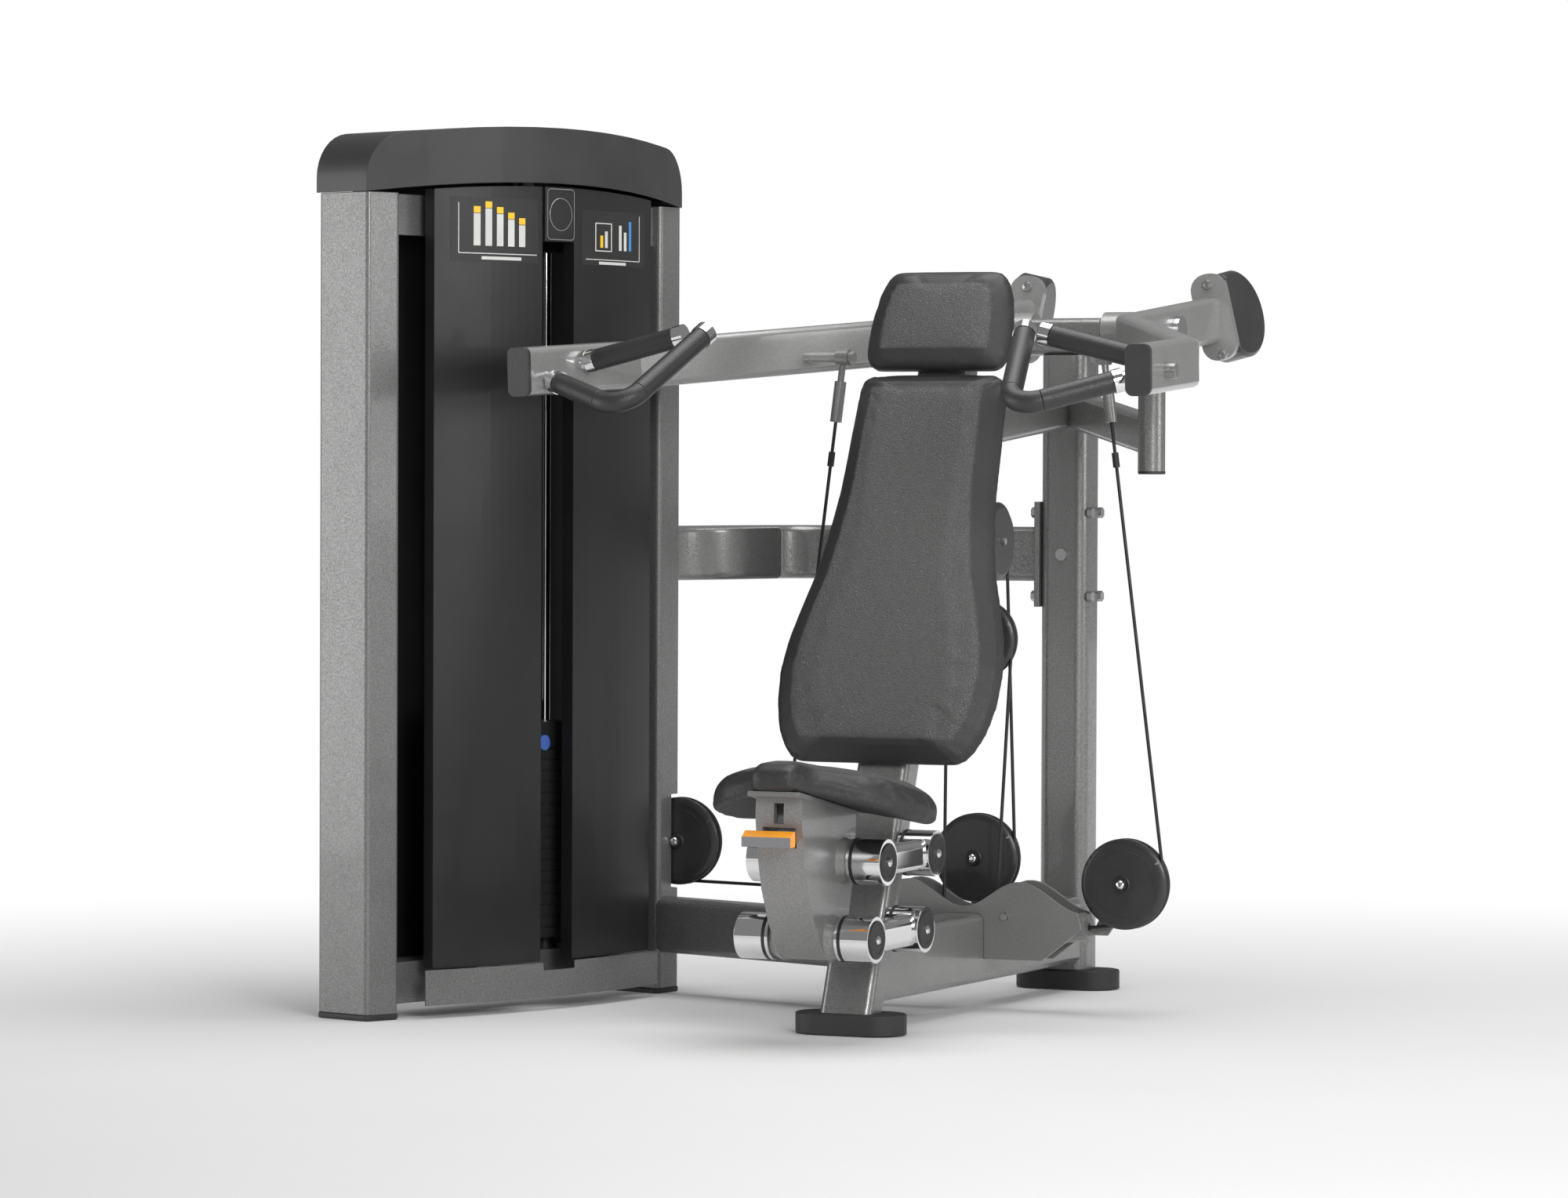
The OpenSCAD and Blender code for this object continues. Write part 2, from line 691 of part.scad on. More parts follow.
// Cord: a tube swept along points, with eight sides
function cord_ring(pts, i, r) =
  let (m = len(pts) - 1, d = unit(pts[min(i + 1, m)] - pts[max(i - 1, 0)]))
  let (ref = abs(d.y) < 0.9 ? [0, 1, 0] : [1, 0, 0], a = unit(cross(d, ref)), b = cross(d, a))
  [for (k = [0:7]) pts[i] + r * (a * cos(45 * k) + b * sin(45 * k))];

module cord(pts, d) {
  m = len(pts);
  polyhedron(
    points = [for (i = [0:m - 1]) each cord_ring(pts, i, d / 2)],
    faces = concat([[for (k = [0:7]) k]], [[for (k = [7:-1:0]) 8 * (m - 1) + k]],
      [for (i = [0:m - 2], k = [0:7]) let (o = 8 * i, j = (k + 1) % 8)
        [o + k, o + 8 + k, o + 8 + j, o + j]]));
}

hang = atan2(swivel_x + groove_big - eye_x, eye_z - swivel_z);
sleeve_dir = [sin(hang), 0, -cos(hang)];
eye = [eye_x, -cable_y, eye_z];
right_half = concat([eye + (sleeve_end + air) * sleeve_dir],
  [for (i = [0:5]) ring_point(swivel_x, swivel_z, lay(groove_big), hang + (feed - 90 - hang) * i / 5)],
  [for (i = [0:5]) ring_point(turn_x, turn_z, lay(groove_turn), feed - 90 - (91 + feed) * i / 5)]);
function left_of(p) = [-p.x, p.y, p.z];

module arm_cable() color("black") cord(concat(right_half,
  [for (i = [0:8]) [float_x, -cable_y, float_z] + lay(groove_float) * [cos(22.5 * i), 0, sin(22.5 * i)]],
  [for (i = [len(right_half) - 1:-1:0]) left_of(right_half[i])]), cable_dia);

float_top = float_z + float_dia / 2 + 26;
function cap_point(x, z) = concat(tower_point(x * cos(cap_yaw), stack_back + x * sin(cap_yaw)), [z]);
wheel_point = [float_x, wheel_y, wheel_z];
mid_point = [mid_x, mid_y, mid_z];
stack_route = concat(
  [[float_x, -cable_y, float_top + air]],
  [for (i = [0:8]) wheel_point + lay(groove_float) * [0, -cos(22.5 * i), sin(22.5 * i)]],
  [for (i = [0:4]) mid_point + lay(groove_big) * [cos(22.5 * i), 0, -sin(22.5 * i)]],
  [for (i = [0:4]) tower_wheel + lay(groove_big) * [-sin(22.5 * i), 0, -cos(22.5 * i)]],
  [for (i = [0:4]) cap_point(cap_run - groove_cap + lay(groove_cap) * cos(22.5 * i),
    cap_pulley_z + lay(groove_cap) * sin(22.5 * i))],
  [for (i = [0:4]) cap_point(groove_cap - lay(groove_cap) * sin(22.5 * i),
    cap_pulley_z + lay(groove_cap) * cos(22.5 * i))],
  [concat(tower_point(0, stack_back), [head_top + 34 + air])]);

module stack_cable() color("black") cord(stack_route, cable_dia);

// Grooved pulley about Z, centred, with a running bore
module pulley(d, bore = axle_dia) {
  r = d / 2;
  h = pulley_t / 2;
  g = cable_dia / 2 + air;
  rotate_extrude() polygon([[bore / 2 + run, -h], [r - 12, -h], [r, -h + 7], [r, -g - 3],
    [r - groove_depth - g, -g], [r - groove_depth - g, g], [r, g + 3], [r, h - 7], [r - 12, h],
    [bore / 2 + run, h]]);
}

module facing_y(p) translate(p) rotate([90, 0, 0]) children();

module left_swivel_pulley() color("black") facing_y([-swivel_x, -cable_y, swivel_z]) pulley(pulley_dia);

module right_swivel_pulley() color("black") facing_y([swivel_x, -cable_y, swivel_z]) pulley(pulley_dia);

module left_turn_pulley() color("black") facing_y([-turn_x, -cable_y, turn_z]) pulley(turn_dia);

module right_turn_pulley() color("black") facing_y([turn_x, -cable_y, turn_z]) pulley(turn_dia);

module mid_pulley() color("black") facing_y(mid_point) pulley(pulley_dia);

module top_wheel() color("black") translate(wheel_point) rotate([0, 90, 0]) pulley(float_dia);

module tower_pulley() color("black") facing_y(tower_wheel) pulley(pulley_dia);

module cap_pulley_side() color("black") in_cap()
  translate([cap_run - groove_cap, 0, 0]) rotate([90, 0, 0]) pulley(cap_pulley_dia);

module cap_pulley_mid() color("black") in_cap()
  translate([groove_cap, 0, 0]) rotate([90, 0, 0]) pulley(cap_pulley_dia);

module floating_pulley() color("black") facing_y([float_x, -cable_y, float_z]) pulley(float_dia);

strap = pulley_t / 2 + 1;

module floating_block() color("gray") translate([float_x, -cable_y, 0]) {
  for (y = [-strap - 5, strap]) difference() {
    translate([-14, y, float_z - 20]) cube([28, 5, float_top - float_z + 20]);
    rod([0, -60, float_z], [0, 60, float_z], axle_dia);
  }
  translate([-14, -strap, float_top - 14]) cube([28, 2 * strap, 14]);
  rod([0, -strap - 9, float_z], [0, strap + 9, float_z], axle_dia);
}

// Middle of the front post at the height of the top wheel
arm_front = -base_len + (wheel_z - foot_h) * tan(recline) - 15;

module pulley_brackets() color("gray") {
  difference() {
    both_sides() {
      difference() {
        union() {
          rod(feed_in + 0.38 * (feed_out - feed_in), feed_out - 0.34 * (feed_out - feed_in), 2 * plate_half);
          along(feed_in + 0.59 * (feed_out - feed_in), feed_out) cylinder(d = 54, h = 12, $fn = 6);
          translate([0, -cable_y + strap + 6, 0]) rotate([90, 0, 0]) linear_extrude(6)
            polygon([[feed_out.x - 78, feed_out.z - 22], [feed_out.x - 48, feed_out.z - 22],
              [swivel_x + 20, swivel_z - 6], [swivel_x + 12, swivel_z + 18], [swivel_x - 16, swivel_z + 14]]);
        }
        rod(feed_in, feed_out, cable_dia + 8);
      }
    }
    for (x = [-swivel_x, swivel_x]) rod([x, -600, swivel_z], [x, -300, swivel_z], axle_dia);
  }
  difference() {
    translate([mid_x - 20, mid_y + strap, base_z + base_h]) cube([40, 8, mid_z + 18 - base_z - base_h]);
    rod(mid_point - [0, 60, 0], mid_point + [0, 60, 0], axle_dia);
  }
  difference() {
    translate([float_x - strap - 8, arm_front, wheel_z - 28]) cube([8, wheel_y + 26 - arm_front, 56]);
    front_post_solid();
    rod(wheel_point - [60, 0, 0], wheel_point + [60, 0, 0], axle_dia);
  }
  difference() {
    translate([tower_wheel.x - 110, tower_wheel.y + strap, tower_wheel_z - 22]) cube([130, 8, 44]);
    in_tower() column_solid(0);
    rod(tower_wheel - [0, 60, 0], tower_wheel + [0, 60, 0], axle_dia);
  }
  in_cap() for (x = [groove_cap, cap_run - groove_cap]) difference() {
    translate([x - 14, -strap - 7, x > 100 ? column_h + 8 - cap_pulley_z : column_h - 2 - cap_pulley_z])
      cube([28, 7, 56]);
    rod([x, -60, 0], [x, 60, 0], axle_dia);
  }
}

module pivot_pins() color("silver") {
  plate_out = plate_half + side_plate_t;
  for (x = [-swivel_x, swivel_x])
    rod([x, -cable_y - strap - 6, swivel_z], [x, -cable_y + strap + 12, swivel_z], axle_dia);
  for (x = [-turn_x, turn_x])
    rod([x, -cable_y - plate_out - 7, turn_z], [x, -cable_y + plate_out, turn_z], axle_dia);
  rod(mid_point - [0, strap + 6, 0], mid_point + [0, strap + 12, 0], axle_dia);
  rod(wheel_point - [strap + 12, 0, 0], wheel_point + [strap + 6, 0, 0], axle_dia);
  rod(tower_wheel - [0, strap + 6, 0], tower_wheel + [0, strap + 12, 0], axle_dia);
  in_cap() for (x = [groove_cap, cap_run - groove_cap]) rod([x, -strap - 10, 0], [x, strap + 4, 0], axle_dia);
  for (q = [post_pivot_low, post_pivot_high])
    rod(q - [link_half - 10, 0, 0], q + [link_half - 10, 0, 0], link_pin);
}

// Half width over which a drooping cushion stays level
droop_from = 50;

// Cushion: rings of an outline, each drawn in (and otherwise at its ends) and lifted, closed by a crown
module cushion(outline, levels, crown, droop = [0, 0]) {
  n = len(outline);
  m = len(levels);
  cx = 0;
  ys = [for (p = outline) p.y];
  cy = (max(ys) + min(ys)) / 2;
  hy = (max(ys) - min(ys)) / 2;
  hx = max([for (p = outline) p.x]);
  function fall(x, h) = (droop[0] + (droop[1] - droop[0]) * h / levels[m - 1][1])
    * pow(max(0, abs(x) - droop_from) / (hx - droop_from), 1.2);
  pts = [for (l = levels) each [for (p = outline)
    [p.x * (1 - l[0] / hx), cy + (p.y - cy) * (1 - (len(l) > 2 ? l[2] : l[0]) / hy),
      l[1] - fall(p.x * (1 - l[0] / hx), l[1])]]];
  polyhedron(
    points = concat(pts, [[cx, cy, levels[0][1] + droop[0] / 2], [cx, cy, levels[m - 1][1] + crown]]),
    faces = concat(
      [for (i = [0:n - 1]) [n * m, i, (i + 1) % n]],
      [for (j = [0:m - 2], i = [0:n - 1])
        [n * j + i, n * (j + 1) + i, n * (j + 1) + (i + 1) % n, n * j + (i + 1) % n]],
      [for (i = [0:n - 1]) [n * m + 1, n * (m - 1) + (i + 1) % n, n * (m - 1) + i]]));
}

// Closed outline from half widths along a length, with rounded ends
function outline(halves) = concat(
  [for (h = halves) [h[1], h[0]]],
  [for (i = [len(halves) - 1:-1:0]) [-halves[i][1], halves[i][0]]]);

back_start = 425;
back_half = [for (h = [[0, 146], [0.012, 164], [0.034, 178], [0.083, 196], [0.15, 207], [0.234, 211],
  [0.317, 203], [0.4, 188], [0.476, 172], [0.568, 160], [0.677, 150], [0.777, 146], [0.877, 144],
  [0.95, 142], [0.985, 134], [1, 116]]) [h[0] * back_len, h[1]]];
head_start = back_start + back_len + 3;
head_half = [for (h = [[0, 110], [0.03, 126], [0.14, 137], [0.3, 138], [0.44, 137], [0.6, 133], [0.77, 127],
  [0.9, 117], [0.97, 107], [1, 94]]) [h[0] * head_len_pad, h[1]]];
seat_profile = [for (h = [[0, 24], [0.013, 36], [0.045, 43], [0.17, 56], [0.25, 88], [0.34, 138],
  [0.44, 170], [0.56, 188], [0.7, 193], [0.86, 189], [0.955, 174], [1, 140], [1, 46]])
  [h[0] * seat_len, h[1] * seat_half / 193]];
board_t = 6;
board_gap = 0.02;
pad_off = front_d / 2 + board_t + 2 * board_gap;

module back_pad() color("dimgray") on_slope(back_start) translate([0, 0, pad_off])
  cushion(outline(back_half), [[10, 0], [2, 6], [0, 16], [3, 26], [46, back_t - 7, 20], [52, back_t - 5, 25],
    [85, back_t - 2, 60]], 2);

module head_pad() color("dimgray") on_slope(head_start) translate([0, 0, pad_off])
  cushion(outline(head_half), [[10, 0], [2, 8], [0, 20], [3, 27], [33, head_t - 7, 18], [38, head_t - 5, 23],
    [60, head_t - 2, 50]], 2);

module pad_boards() color("black") on_slope(0) {
  translate([-80, back_start + 30, front_d / 2 + board_gap]) cube([160, back_len - 60, board_t]);
  translate([-70, head_start + 20, front_d / 2 + board_gap])
    cube([140, front_len - head_start - 30, board_t]);
}

module seat_place() translate(seat_front) rotate([-seat_tilt, 0, 0]) children();

module seat_pad() color("dimgray") seat_place() translate([0, 0, seat_gap]) {
  cushion(outline(seat_profile), [[14, 0], [4, 8], [0, 20], [2, 34], [14, seat_t - 12], [24, seat_t - 7],
    [60, seat_t - 3]], 3, [24, 12]);
  translate([-40, seat_plate_y, 0]) cube([80, seat_len - seat_plate_y - 40, 22]);
}

function under_seat(y) = seat_front.z - (y - seat_front.y) * tan(seat_tilt);
carriage_side = [for (p = [[-298, 380], [-290, 320], [-274, 262], [-246, 204], [-214, 160], [-190, 140],
  [-148, 140], [-120, 168], [-100, 230], [-82, 300], [-76, under_seat(-base_len - 76)],
  [-296, under_seat(-base_len - 296)]]) [p.x - base_len, p.y]];

module carriage_boss(q) both_sides() {
  translate([carriage_w / 2 - 1, q.y, q.z]) rotate([0, 90, 0])
    cylinder(r1 = 40, r2 = 33, h = boss_half - carriage_w / 2 + 1);
  rod(q + [boss_half - 1, 0, 0], q + [link_half - 10, 0, 0], link_pin);
}

module carriage_body() difference() {
  union() {
    translate([-carriage_w / 2, 0, 0]) rotate([90, 0, 90]) linear_extrude(carriage_w) polygon(carriage_side);
    carriage_boss(seat_pivot_low);
    intersection() {
      carriage_boss(seat_pivot_high);
      translate([-200, -base_len - 410, 0]) cube([400, 600, 355]);
    }
    seat_place() translate([-44, seat_plate_y, -6]) cube([88, seat_len - seat_plate_y - 40, 6]);
    seat_place() translate([-nose_plate / 2, 22, -8]) cube([nose_plate, 104, 8]);
  }
  translate([-carriage_w / 2 + 8, 12, 0]) rotate([90, 0, 90]) linear_extrude(carriage_w - 16) intersection() {
    polygon(carriage_side);
    translate([-base_len, 0]) polygon([[-410, 156], [-10, 156], [-10, under_seat(-base_len - 10) - 14],
      [-410, under_seat(-base_len - 410) - 14]]);
  }
  translate([-9, -base_len - 330, 372]) cube([18, 60, 34]);
  translate(lever_at - [30, 32, 17]) cube([60, 70, 34]);
}

module seat_carriage() color("silver") {
  carriage_body();
  rod(lever_pivot - [carriage_w / 2 - 4, 0, 0], lever_pivot + [carriage_w / 2 - 4, 0, 0], lever_pin);
}

module release_lever() color("orange") difference() {
  union() {
    translate(lever_at - [44, 0, 0]) rotate([90, 0, 90]) linear_extrude(88)
      polygon([[-52, -13], [-32, -13], [-32, 13], [-39, 13], [-52, 3]]);
    translate(lever_at + [-28, -33, -9]) cube([56, 44, 18]);
    rod(lever_pivot - [28, 0, 0], lever_pivot + [28, 0, 0], 18);
  }
  rod(lever_pivot - [60, 0, 0], lever_pivot + [60, 0, 0], lever_pin + 2 * run);
}

module link(a, b) difference() {
  both_sides() {
    for (q = [a, b]) rod(q + [boss_half + side_gap, 0, 0], q + [link_half, 0, 0], knob_dia);
    bar(a + [boss_half + 34, 0, 0], b + [boss_half + 34, 0, 0], 46, 52, 14);
  }
  for (q = [a, b]) rod(q - [link_half - 9, 0, 0], q + [link_half - 9, 0, 0], link_pin + 2 * run);
}

module upper_links() color("white") link(post_pivot_high, seat_pivot_high);

module lower_links() color("white") link(post_pivot_low, seat_pivot_low);

weight_at = [arm_x + 7, arm_rear + 10, pivot_z + 29];
weight_lean = 13;
weight_splay = 9;
weight_ease = 6;

module arm() {
  difference() {
    union() {
      hollow_chain(arm_route, arm_w, arm_h, 12, arm_wall);
      rod([hub_start, 0, pivot_z], [arm_x + arm_w / 2, 0, pivot_z], 2 * hub_r);
      translate([weight_at.x, arm_rear - 8, weight_at.z]) rotate([0, -weight_lean, 0])
        rotate([-90, 0, 0]) linear_extrude(18) section(68, 164, 30);
      rod([eye_x + 12, -cable_y, eye_z], [pin_root.x - 8, -cable_y, eye_z], cable_pin_dia);
    }
    rod([0, 0, pivot_z], [400, 0, pivot_z], shaft_dia + 2 * run);
  }
  rod([eye_x - 13, -cable_y, eye_z], [eye_x + 13, -cable_y, eye_z], eye_pin_dia);
  translate([eye_x - 12 - pin_nut, -cable_y, eye_z]) rotate([0, 90, 0])
    cylinder(d = 22, h = pin_nut, $fn = 6);
}

tip = arm_route[3];
tip_dir = unit(arm_route[3] - arm_route[2]);
grab_a = [[544, -959, 1134], [333, -959, 1185]];
grab_b = [[546, -1066, 1113], [354, -1166, 1056], [296, -949, 1190]];
grab_bend = 42;
grip_fit = 0.15;
collar_t = 16;
stub = 44;
function from_start(route, e) = route[0] + e * unit(route[1] - route[0]);
function from_end(route, e) = let (m = len(route) - 1) route[m] + e * unit(route[m - 1] - route[m]);

module handle() {
  difference() {
    union() {
      rod(grab_a[0], grab_a[1], bar_dia);
      bent_tube(grab_b, grab_bend, bar_dia, 0);
    }
    chain(stretch(arm_route, 1), arm_w, arm_h, 12);
  }
  for (g = [grab_a, grab_b]) {
    hollow_rod(from_start(g, stub - collar_t), from_start(g, stub), grip_dia + 3, bar_dia);
    hollow_rod(from_end(g, collar_t), from_end(g, 0), grip_dia + 3, bar_dia);
    rod(from_end(g, 0), from_end(g, -3), grip_dia + 3);
  }
}

module grips() {
  hollow_rod(from_start(grab_a, stub), from_end(grab_a, collar_t), grip_dia, bar_dia + 2 * grip_fit);
  bent_tube([from_start(grab_b, stub), grab_b[1], from_end(grab_b, collar_t)], grab_bend, grip_dia,
    bar_dia + 2 * grip_fit);
  bar(tip, tip + 10 * tip_dir, arm_w + 2, arm_h + 2, 13);
}

// A thick disc that stands on edge, cut flat where it meets the arm's plate
module counterweight() translate(weight_at) rotate([0, -weight_lean, 0]) difference() {
  r = weight_dia / 2;
  h = weight_t / 2;
  rotate([0, 0, -weight_splay]) translate([3, r - 40, 0]) rotate([0, 90, 0]) rotate_extrude()
    polygon([[0, -h], [r - weight_ease, -h], [r, weight_ease - h], [r, h - weight_ease],
      [r - weight_ease, h], [0, h]]);
  translate([-150, -300, -150]) cube(300);
}

module rod_end() {
  difference() {
    rod(eye - [11.5, 0, 0], eye + [11.5, 0, 0], 2 * eye_r);
    rod(eye - [20, 0, 0], eye + [20, 0, 0], eye_pin_dia + 2 * run);
  }
  rod(eye + (eye_r - 2) * sleeve_dir, eye + sleeve_top * sleeve_dir, 12);
  rod(eye + (sleeve_top - 1) * sleeve_dir, eye + sleeve_end * sleeve_dir, 21);
}

// Crimped sleeves on the two rising runs of the arm cable
clamp_drop = 170;
clamp_len = 26;

module cable_clamps() color("black") both_sides()
  hollow_rod(eye + clamp_drop * sleeve_dir, eye + (clamp_drop + clamp_len) * sleeve_dir, cable_dia + 6,
    cable_dia + 2 * air);

module right_arm() color("gray") arm();

module left_arm() color("gray") mirror([1, 0, 0]) arm();

module right_handle() color("white") handle();

module left_handle() color("white") mirror([1, 0, 0]) handle();

module right_grips() color("black") grips();

module left_grips() color("black") mirror([1, 0, 0]) grips();

module right_counterweight() color("black") counterweight();

module left_counterweight() color("black") mirror([1, 0, 0]) counterweight();

module right_rod_end() color("silver") rod_end();

module left_rod_end() color("silver") mirror([1, 0, 0]) rod_end();

near_column();
far_column();
tower_cap();
tower_crossbars();
back_panel();
near_panel();
far_panel();
badge_plate();
kick_plate();
guide_rods();
rod_mounts();
stack_plates();
stack_head();
selector_pin();
upper_beam();
lower_beam();
frame_bolts();
rear_post();
front_post();
base_tube();
rubber_feet();
pivot_head();
pivot_shaft();
stop_arms();
stop_buffers();
cable_plates();
pulley_brackets();
pivot_pins();
arm_cable();
stack_cable();
back_pad();
head_pad();
pad_boards();
left_swivel_pulley();
right_swivel_pulley();
left_turn_pulley();
right_turn_pulley();
mid_pulley();
top_wheel();
tower_pulley();
cap_pulley_side();
cap_pulley_mid();
floating_block();
floating_pulley();
seat_carriage();
seat_pad();
upper_links();
lower_links();
release_lever();
left_arm();
left_handle();
left_grips();
left_counterweight();
left_rod_end();
right_arm();
right_handle();
right_grips();
right_counterweight();
right_rod_end();
cable_clamps();
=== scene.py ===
"""Looks of a shoulder press machine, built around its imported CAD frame.

Every length is in metres, in the CAD's own frame: +Z up, the user faces -Y, the weight
tower stands on the -X side and the origin lies on the floor under the rear post.
"""

import json
import logging
import math
from dataclasses import dataclass, field
from enum import Enum
from typing import Dict, List, Sequence, Tuple, Union

import bpy
from mathutils import Matrix, Vector

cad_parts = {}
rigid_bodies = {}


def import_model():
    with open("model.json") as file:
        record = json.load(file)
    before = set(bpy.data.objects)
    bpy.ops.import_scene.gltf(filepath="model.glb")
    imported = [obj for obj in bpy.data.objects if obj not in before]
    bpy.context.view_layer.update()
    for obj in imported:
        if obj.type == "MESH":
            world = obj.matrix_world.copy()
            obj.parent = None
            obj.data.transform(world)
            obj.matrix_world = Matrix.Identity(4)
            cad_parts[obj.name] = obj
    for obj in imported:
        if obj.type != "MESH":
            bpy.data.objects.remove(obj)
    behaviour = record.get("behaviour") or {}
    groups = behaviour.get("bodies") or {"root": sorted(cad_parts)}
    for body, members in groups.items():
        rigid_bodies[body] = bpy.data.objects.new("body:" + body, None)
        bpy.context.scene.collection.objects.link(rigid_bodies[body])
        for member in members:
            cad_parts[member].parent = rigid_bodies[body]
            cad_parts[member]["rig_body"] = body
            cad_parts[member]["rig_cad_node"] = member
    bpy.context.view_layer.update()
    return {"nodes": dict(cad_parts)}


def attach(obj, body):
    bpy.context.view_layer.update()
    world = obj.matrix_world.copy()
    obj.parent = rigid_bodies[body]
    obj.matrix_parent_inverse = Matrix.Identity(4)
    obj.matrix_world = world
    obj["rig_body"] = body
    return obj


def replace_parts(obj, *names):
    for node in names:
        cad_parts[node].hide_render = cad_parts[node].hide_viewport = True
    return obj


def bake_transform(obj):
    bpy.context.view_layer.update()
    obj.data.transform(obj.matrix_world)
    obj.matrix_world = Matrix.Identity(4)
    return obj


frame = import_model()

log = logging.getLogger("shoulder_press")

Point = Tuple[float, float, float]
Colour = Tuple[float, float, float]
Value = Union["Sock", float]

# Widths of rounded edges.
FINE_EDGE = 0.0012
SHEET_EDGE = 0.0015
TUBE_EDGE = 0.0018
BROAD_EDGE = 0.002
RUBBER_EDGE = 0.003

MARK_THICKNESS = 0.0006
UP = (0.0, 0.0, 1.0)


class Side(Enum):
    """One of the two mirrored sides of the machine."""

    LEFT = -1
    RIGHT = 1

    @property
    def label(self) -> str:
        """The side's name as it stands in CAD node names."""
        return self.name.lower()

    def place(self, point: Point) -> Vector:
        """Mirrors a right-hand point onto this side.

        Args:
            point: A point on the right-hand side.

        Returns:
            The same point on this side.
        """
        return Vector((self.value * point[0], point[1], point[2]))


class Sock:
    """A shader value that takes part in arithmetic, so patterns read as formulas."""

    def __init__(self, tree: bpy.types.NodeTree, socket: bpy.types.NodeSocket) -> None:
        """Wraps one output of a node."""
        self.tree = tree
        self.socket = socket

    def node(self, kind: str, settings: Dict[str, object], inputs: Dict[object, object],
             out: object = 0) -> "Sock":
        """Adds any node to the same tree.

        Args:
            kind: The node's type name.
            settings: Attributes set on the node.
            inputs: Values or Socks by input name or index.
            out: Name or index of the output that is returned.

        Returns:
            The chosen output.
        """
        made = self.tree.nodes.new(kind)
        for name, value in settings.items():
            setattr(made, name, value)
        for name, value in inputs.items():
            if isinstance(value, Sock):
                self.tree.links.new(value.socket, made.inputs[name])
            else:
                made.inputs[name].default_value = value
        return Sock(self.tree, made.outputs[out])

    def _math(self, operation: str, first: Value, second: Value) -> "Sock":
        """Adds a Math node."""
        return self.node("ShaderNodeMath", {"operation": operation}, {0: first, 1: second})

    def __add__(self, other: Value) -> "Sock":
        """The sum of two values."""
        return self._math("ADD", self, other)

    __radd__ = __add__

    def __sub__(self, other: Value) -> "Sock":
        """This value less another."""
        return self._math("SUBTRACT", self, other)

    def __rsub__(self, other: Value) -> "Sock":
        """Another value less this one."""
        return self._math("SUBTRACT", other, self)

    def __mul__(self, other: Value) -> "Sock":
        """The product of two values."""
        return self._math("MULTIPLY", self, other)

    __rmul__ = __mul__

    def __lt__(self, other: Value) -> "Sock":
        """1 where this value is the smaller, else 0."""
        return self._math("LESS_THAN", self, other)

    def __gt__(self, other: Value) -> "Sock":
        """1 where this value is the larger, else 0."""
        return self._math("GREATER_THAN", self, other)

    def ramp(self, low: float, high: float) -> "Sock":
        """Maps low..high smoothly to 0..1."""
        settings = {"interpolation_type": "SMOOTHSTEP"}
        return self.node("ShaderNodeMapRange", settings, {"Value": self, "From Min": low, "From Max": high})

    def mix(self, first: object, second: object) -> "Sock":
        """Blends two colours by this value.

        Args:
            first: Colour, or Sock, at 0.
            second: Colour, or Sock, at 1.

        Returns:
            The blended colour.
        """
        inputs = {"Factor": self, 6: opaque(first), 7: opaque(second)}
        return self.node("ShaderNodeMix", {"data_type": "RGBA"}, inputs, 2)

    def noise(self, scale: float, detail: float = 2.0) -> "Sock":
        """Reads this value as a place and returns soft noise there."""
        return self.node("ShaderNodeTexNoise", {}, {"Vector": self, "Scale": scale, "Detail": detail})

    def cells(self, scale: float, feature: str = "F1") -> "Sock":
        """Reads this value as a place and returns the distance to a cell's point or edge."""
        inputs = {"Vector": self, "Scale": scale}
        return self.node("ShaderNodeTexVoronoi", {"feature": feature}, inputs, "Distance")

    def axis(self, name: str) -> "Sock":
        """One of this vector's X, Y or Z parts."""
        return self.node("ShaderNodeSeparateXYZ", {}, {0: self}, name)


def opaque(value: object) -> object:
    """Gives a plain colour its fourth, opaque, part."""
    return value if isinstance(value, Sock) else (*value, 1.0)


@dataclass(frozen=True)
class Finish:
    """A surface: its colour, gloss and grain, made as one node material.

    Attributes:
        name: Material name.
        colour: Base colour, linear.
        roughness: Mean roughness.
        metallic: Share of metal.
        coat: Clear coat weight.
        slot: Material slot of the record that the surface stands for.
    """

    name: str
    colour: Colour
    roughness: float = 0.5
    metallic: float = 0.0
    coat: float = 0.0
    slot: str = "frame_paint"

    def pattern(self, place: Sock) -> Dict[str, Sock]:
        """The varying inputs of the shader: colour, roughness and relief.

        Args:
            place: Object coordinates, in metres.

        Returns:
            Socks by shader input name, with "Height" for relief.
        """
        cloud = place.noise(14.0)
        tone = cloud.ramp(0.3, 0.7)
        return {
            "Base Color": tone.mix(scaled(self.colour, 0.93), scaled(self.colour, 1.05)),
            "Roughness": self.roughness + (cloud - 0.5) * 0.12,
            "Height": place.noise(900.0) * 0.1,
        }

    def relief(self) -> float:
        """Depth of the relief, in metres."""
        return 0.0001

    def material(self) -> bpy.types.Material:
        """Makes the material, unless it is already there.

        Returns:
            The material.
        """
        label = "look_" + self.name
        made = bpy.data.materials.get(label)
        if made:
            return made
        made = bpy.data.materials.new(label)
        made.use_nodes = True
        tree = made.node_tree
        shader = tree.nodes["Principled BSDF"]
        shader.inputs["Metallic"].default_value = self.metallic
        shader.inputs["Coat Weight"].default_value = self.coat
        shader.inputs["Coat Roughness"].default_value = 0.06
        coordinates = tree.nodes.new("ShaderNodeTexCoord")
        pattern = self.pattern(Sock(tree, coordinates.outputs["Object"]))
        height = pattern.pop("Height")
        pattern["Normal"] = height.node("ShaderNodeBump", {}, {"Height": height, "Distance": self.relief()})
        for name, value in pattern.items():
            tree.links.new(value.socket, shader.inputs[name])
        return made


def scaled(colour: Colour, factor: float) -> Colour:
    """A colour made lighter or darker."""
    return tuple(min(1.0, part * factor) for part in colour)


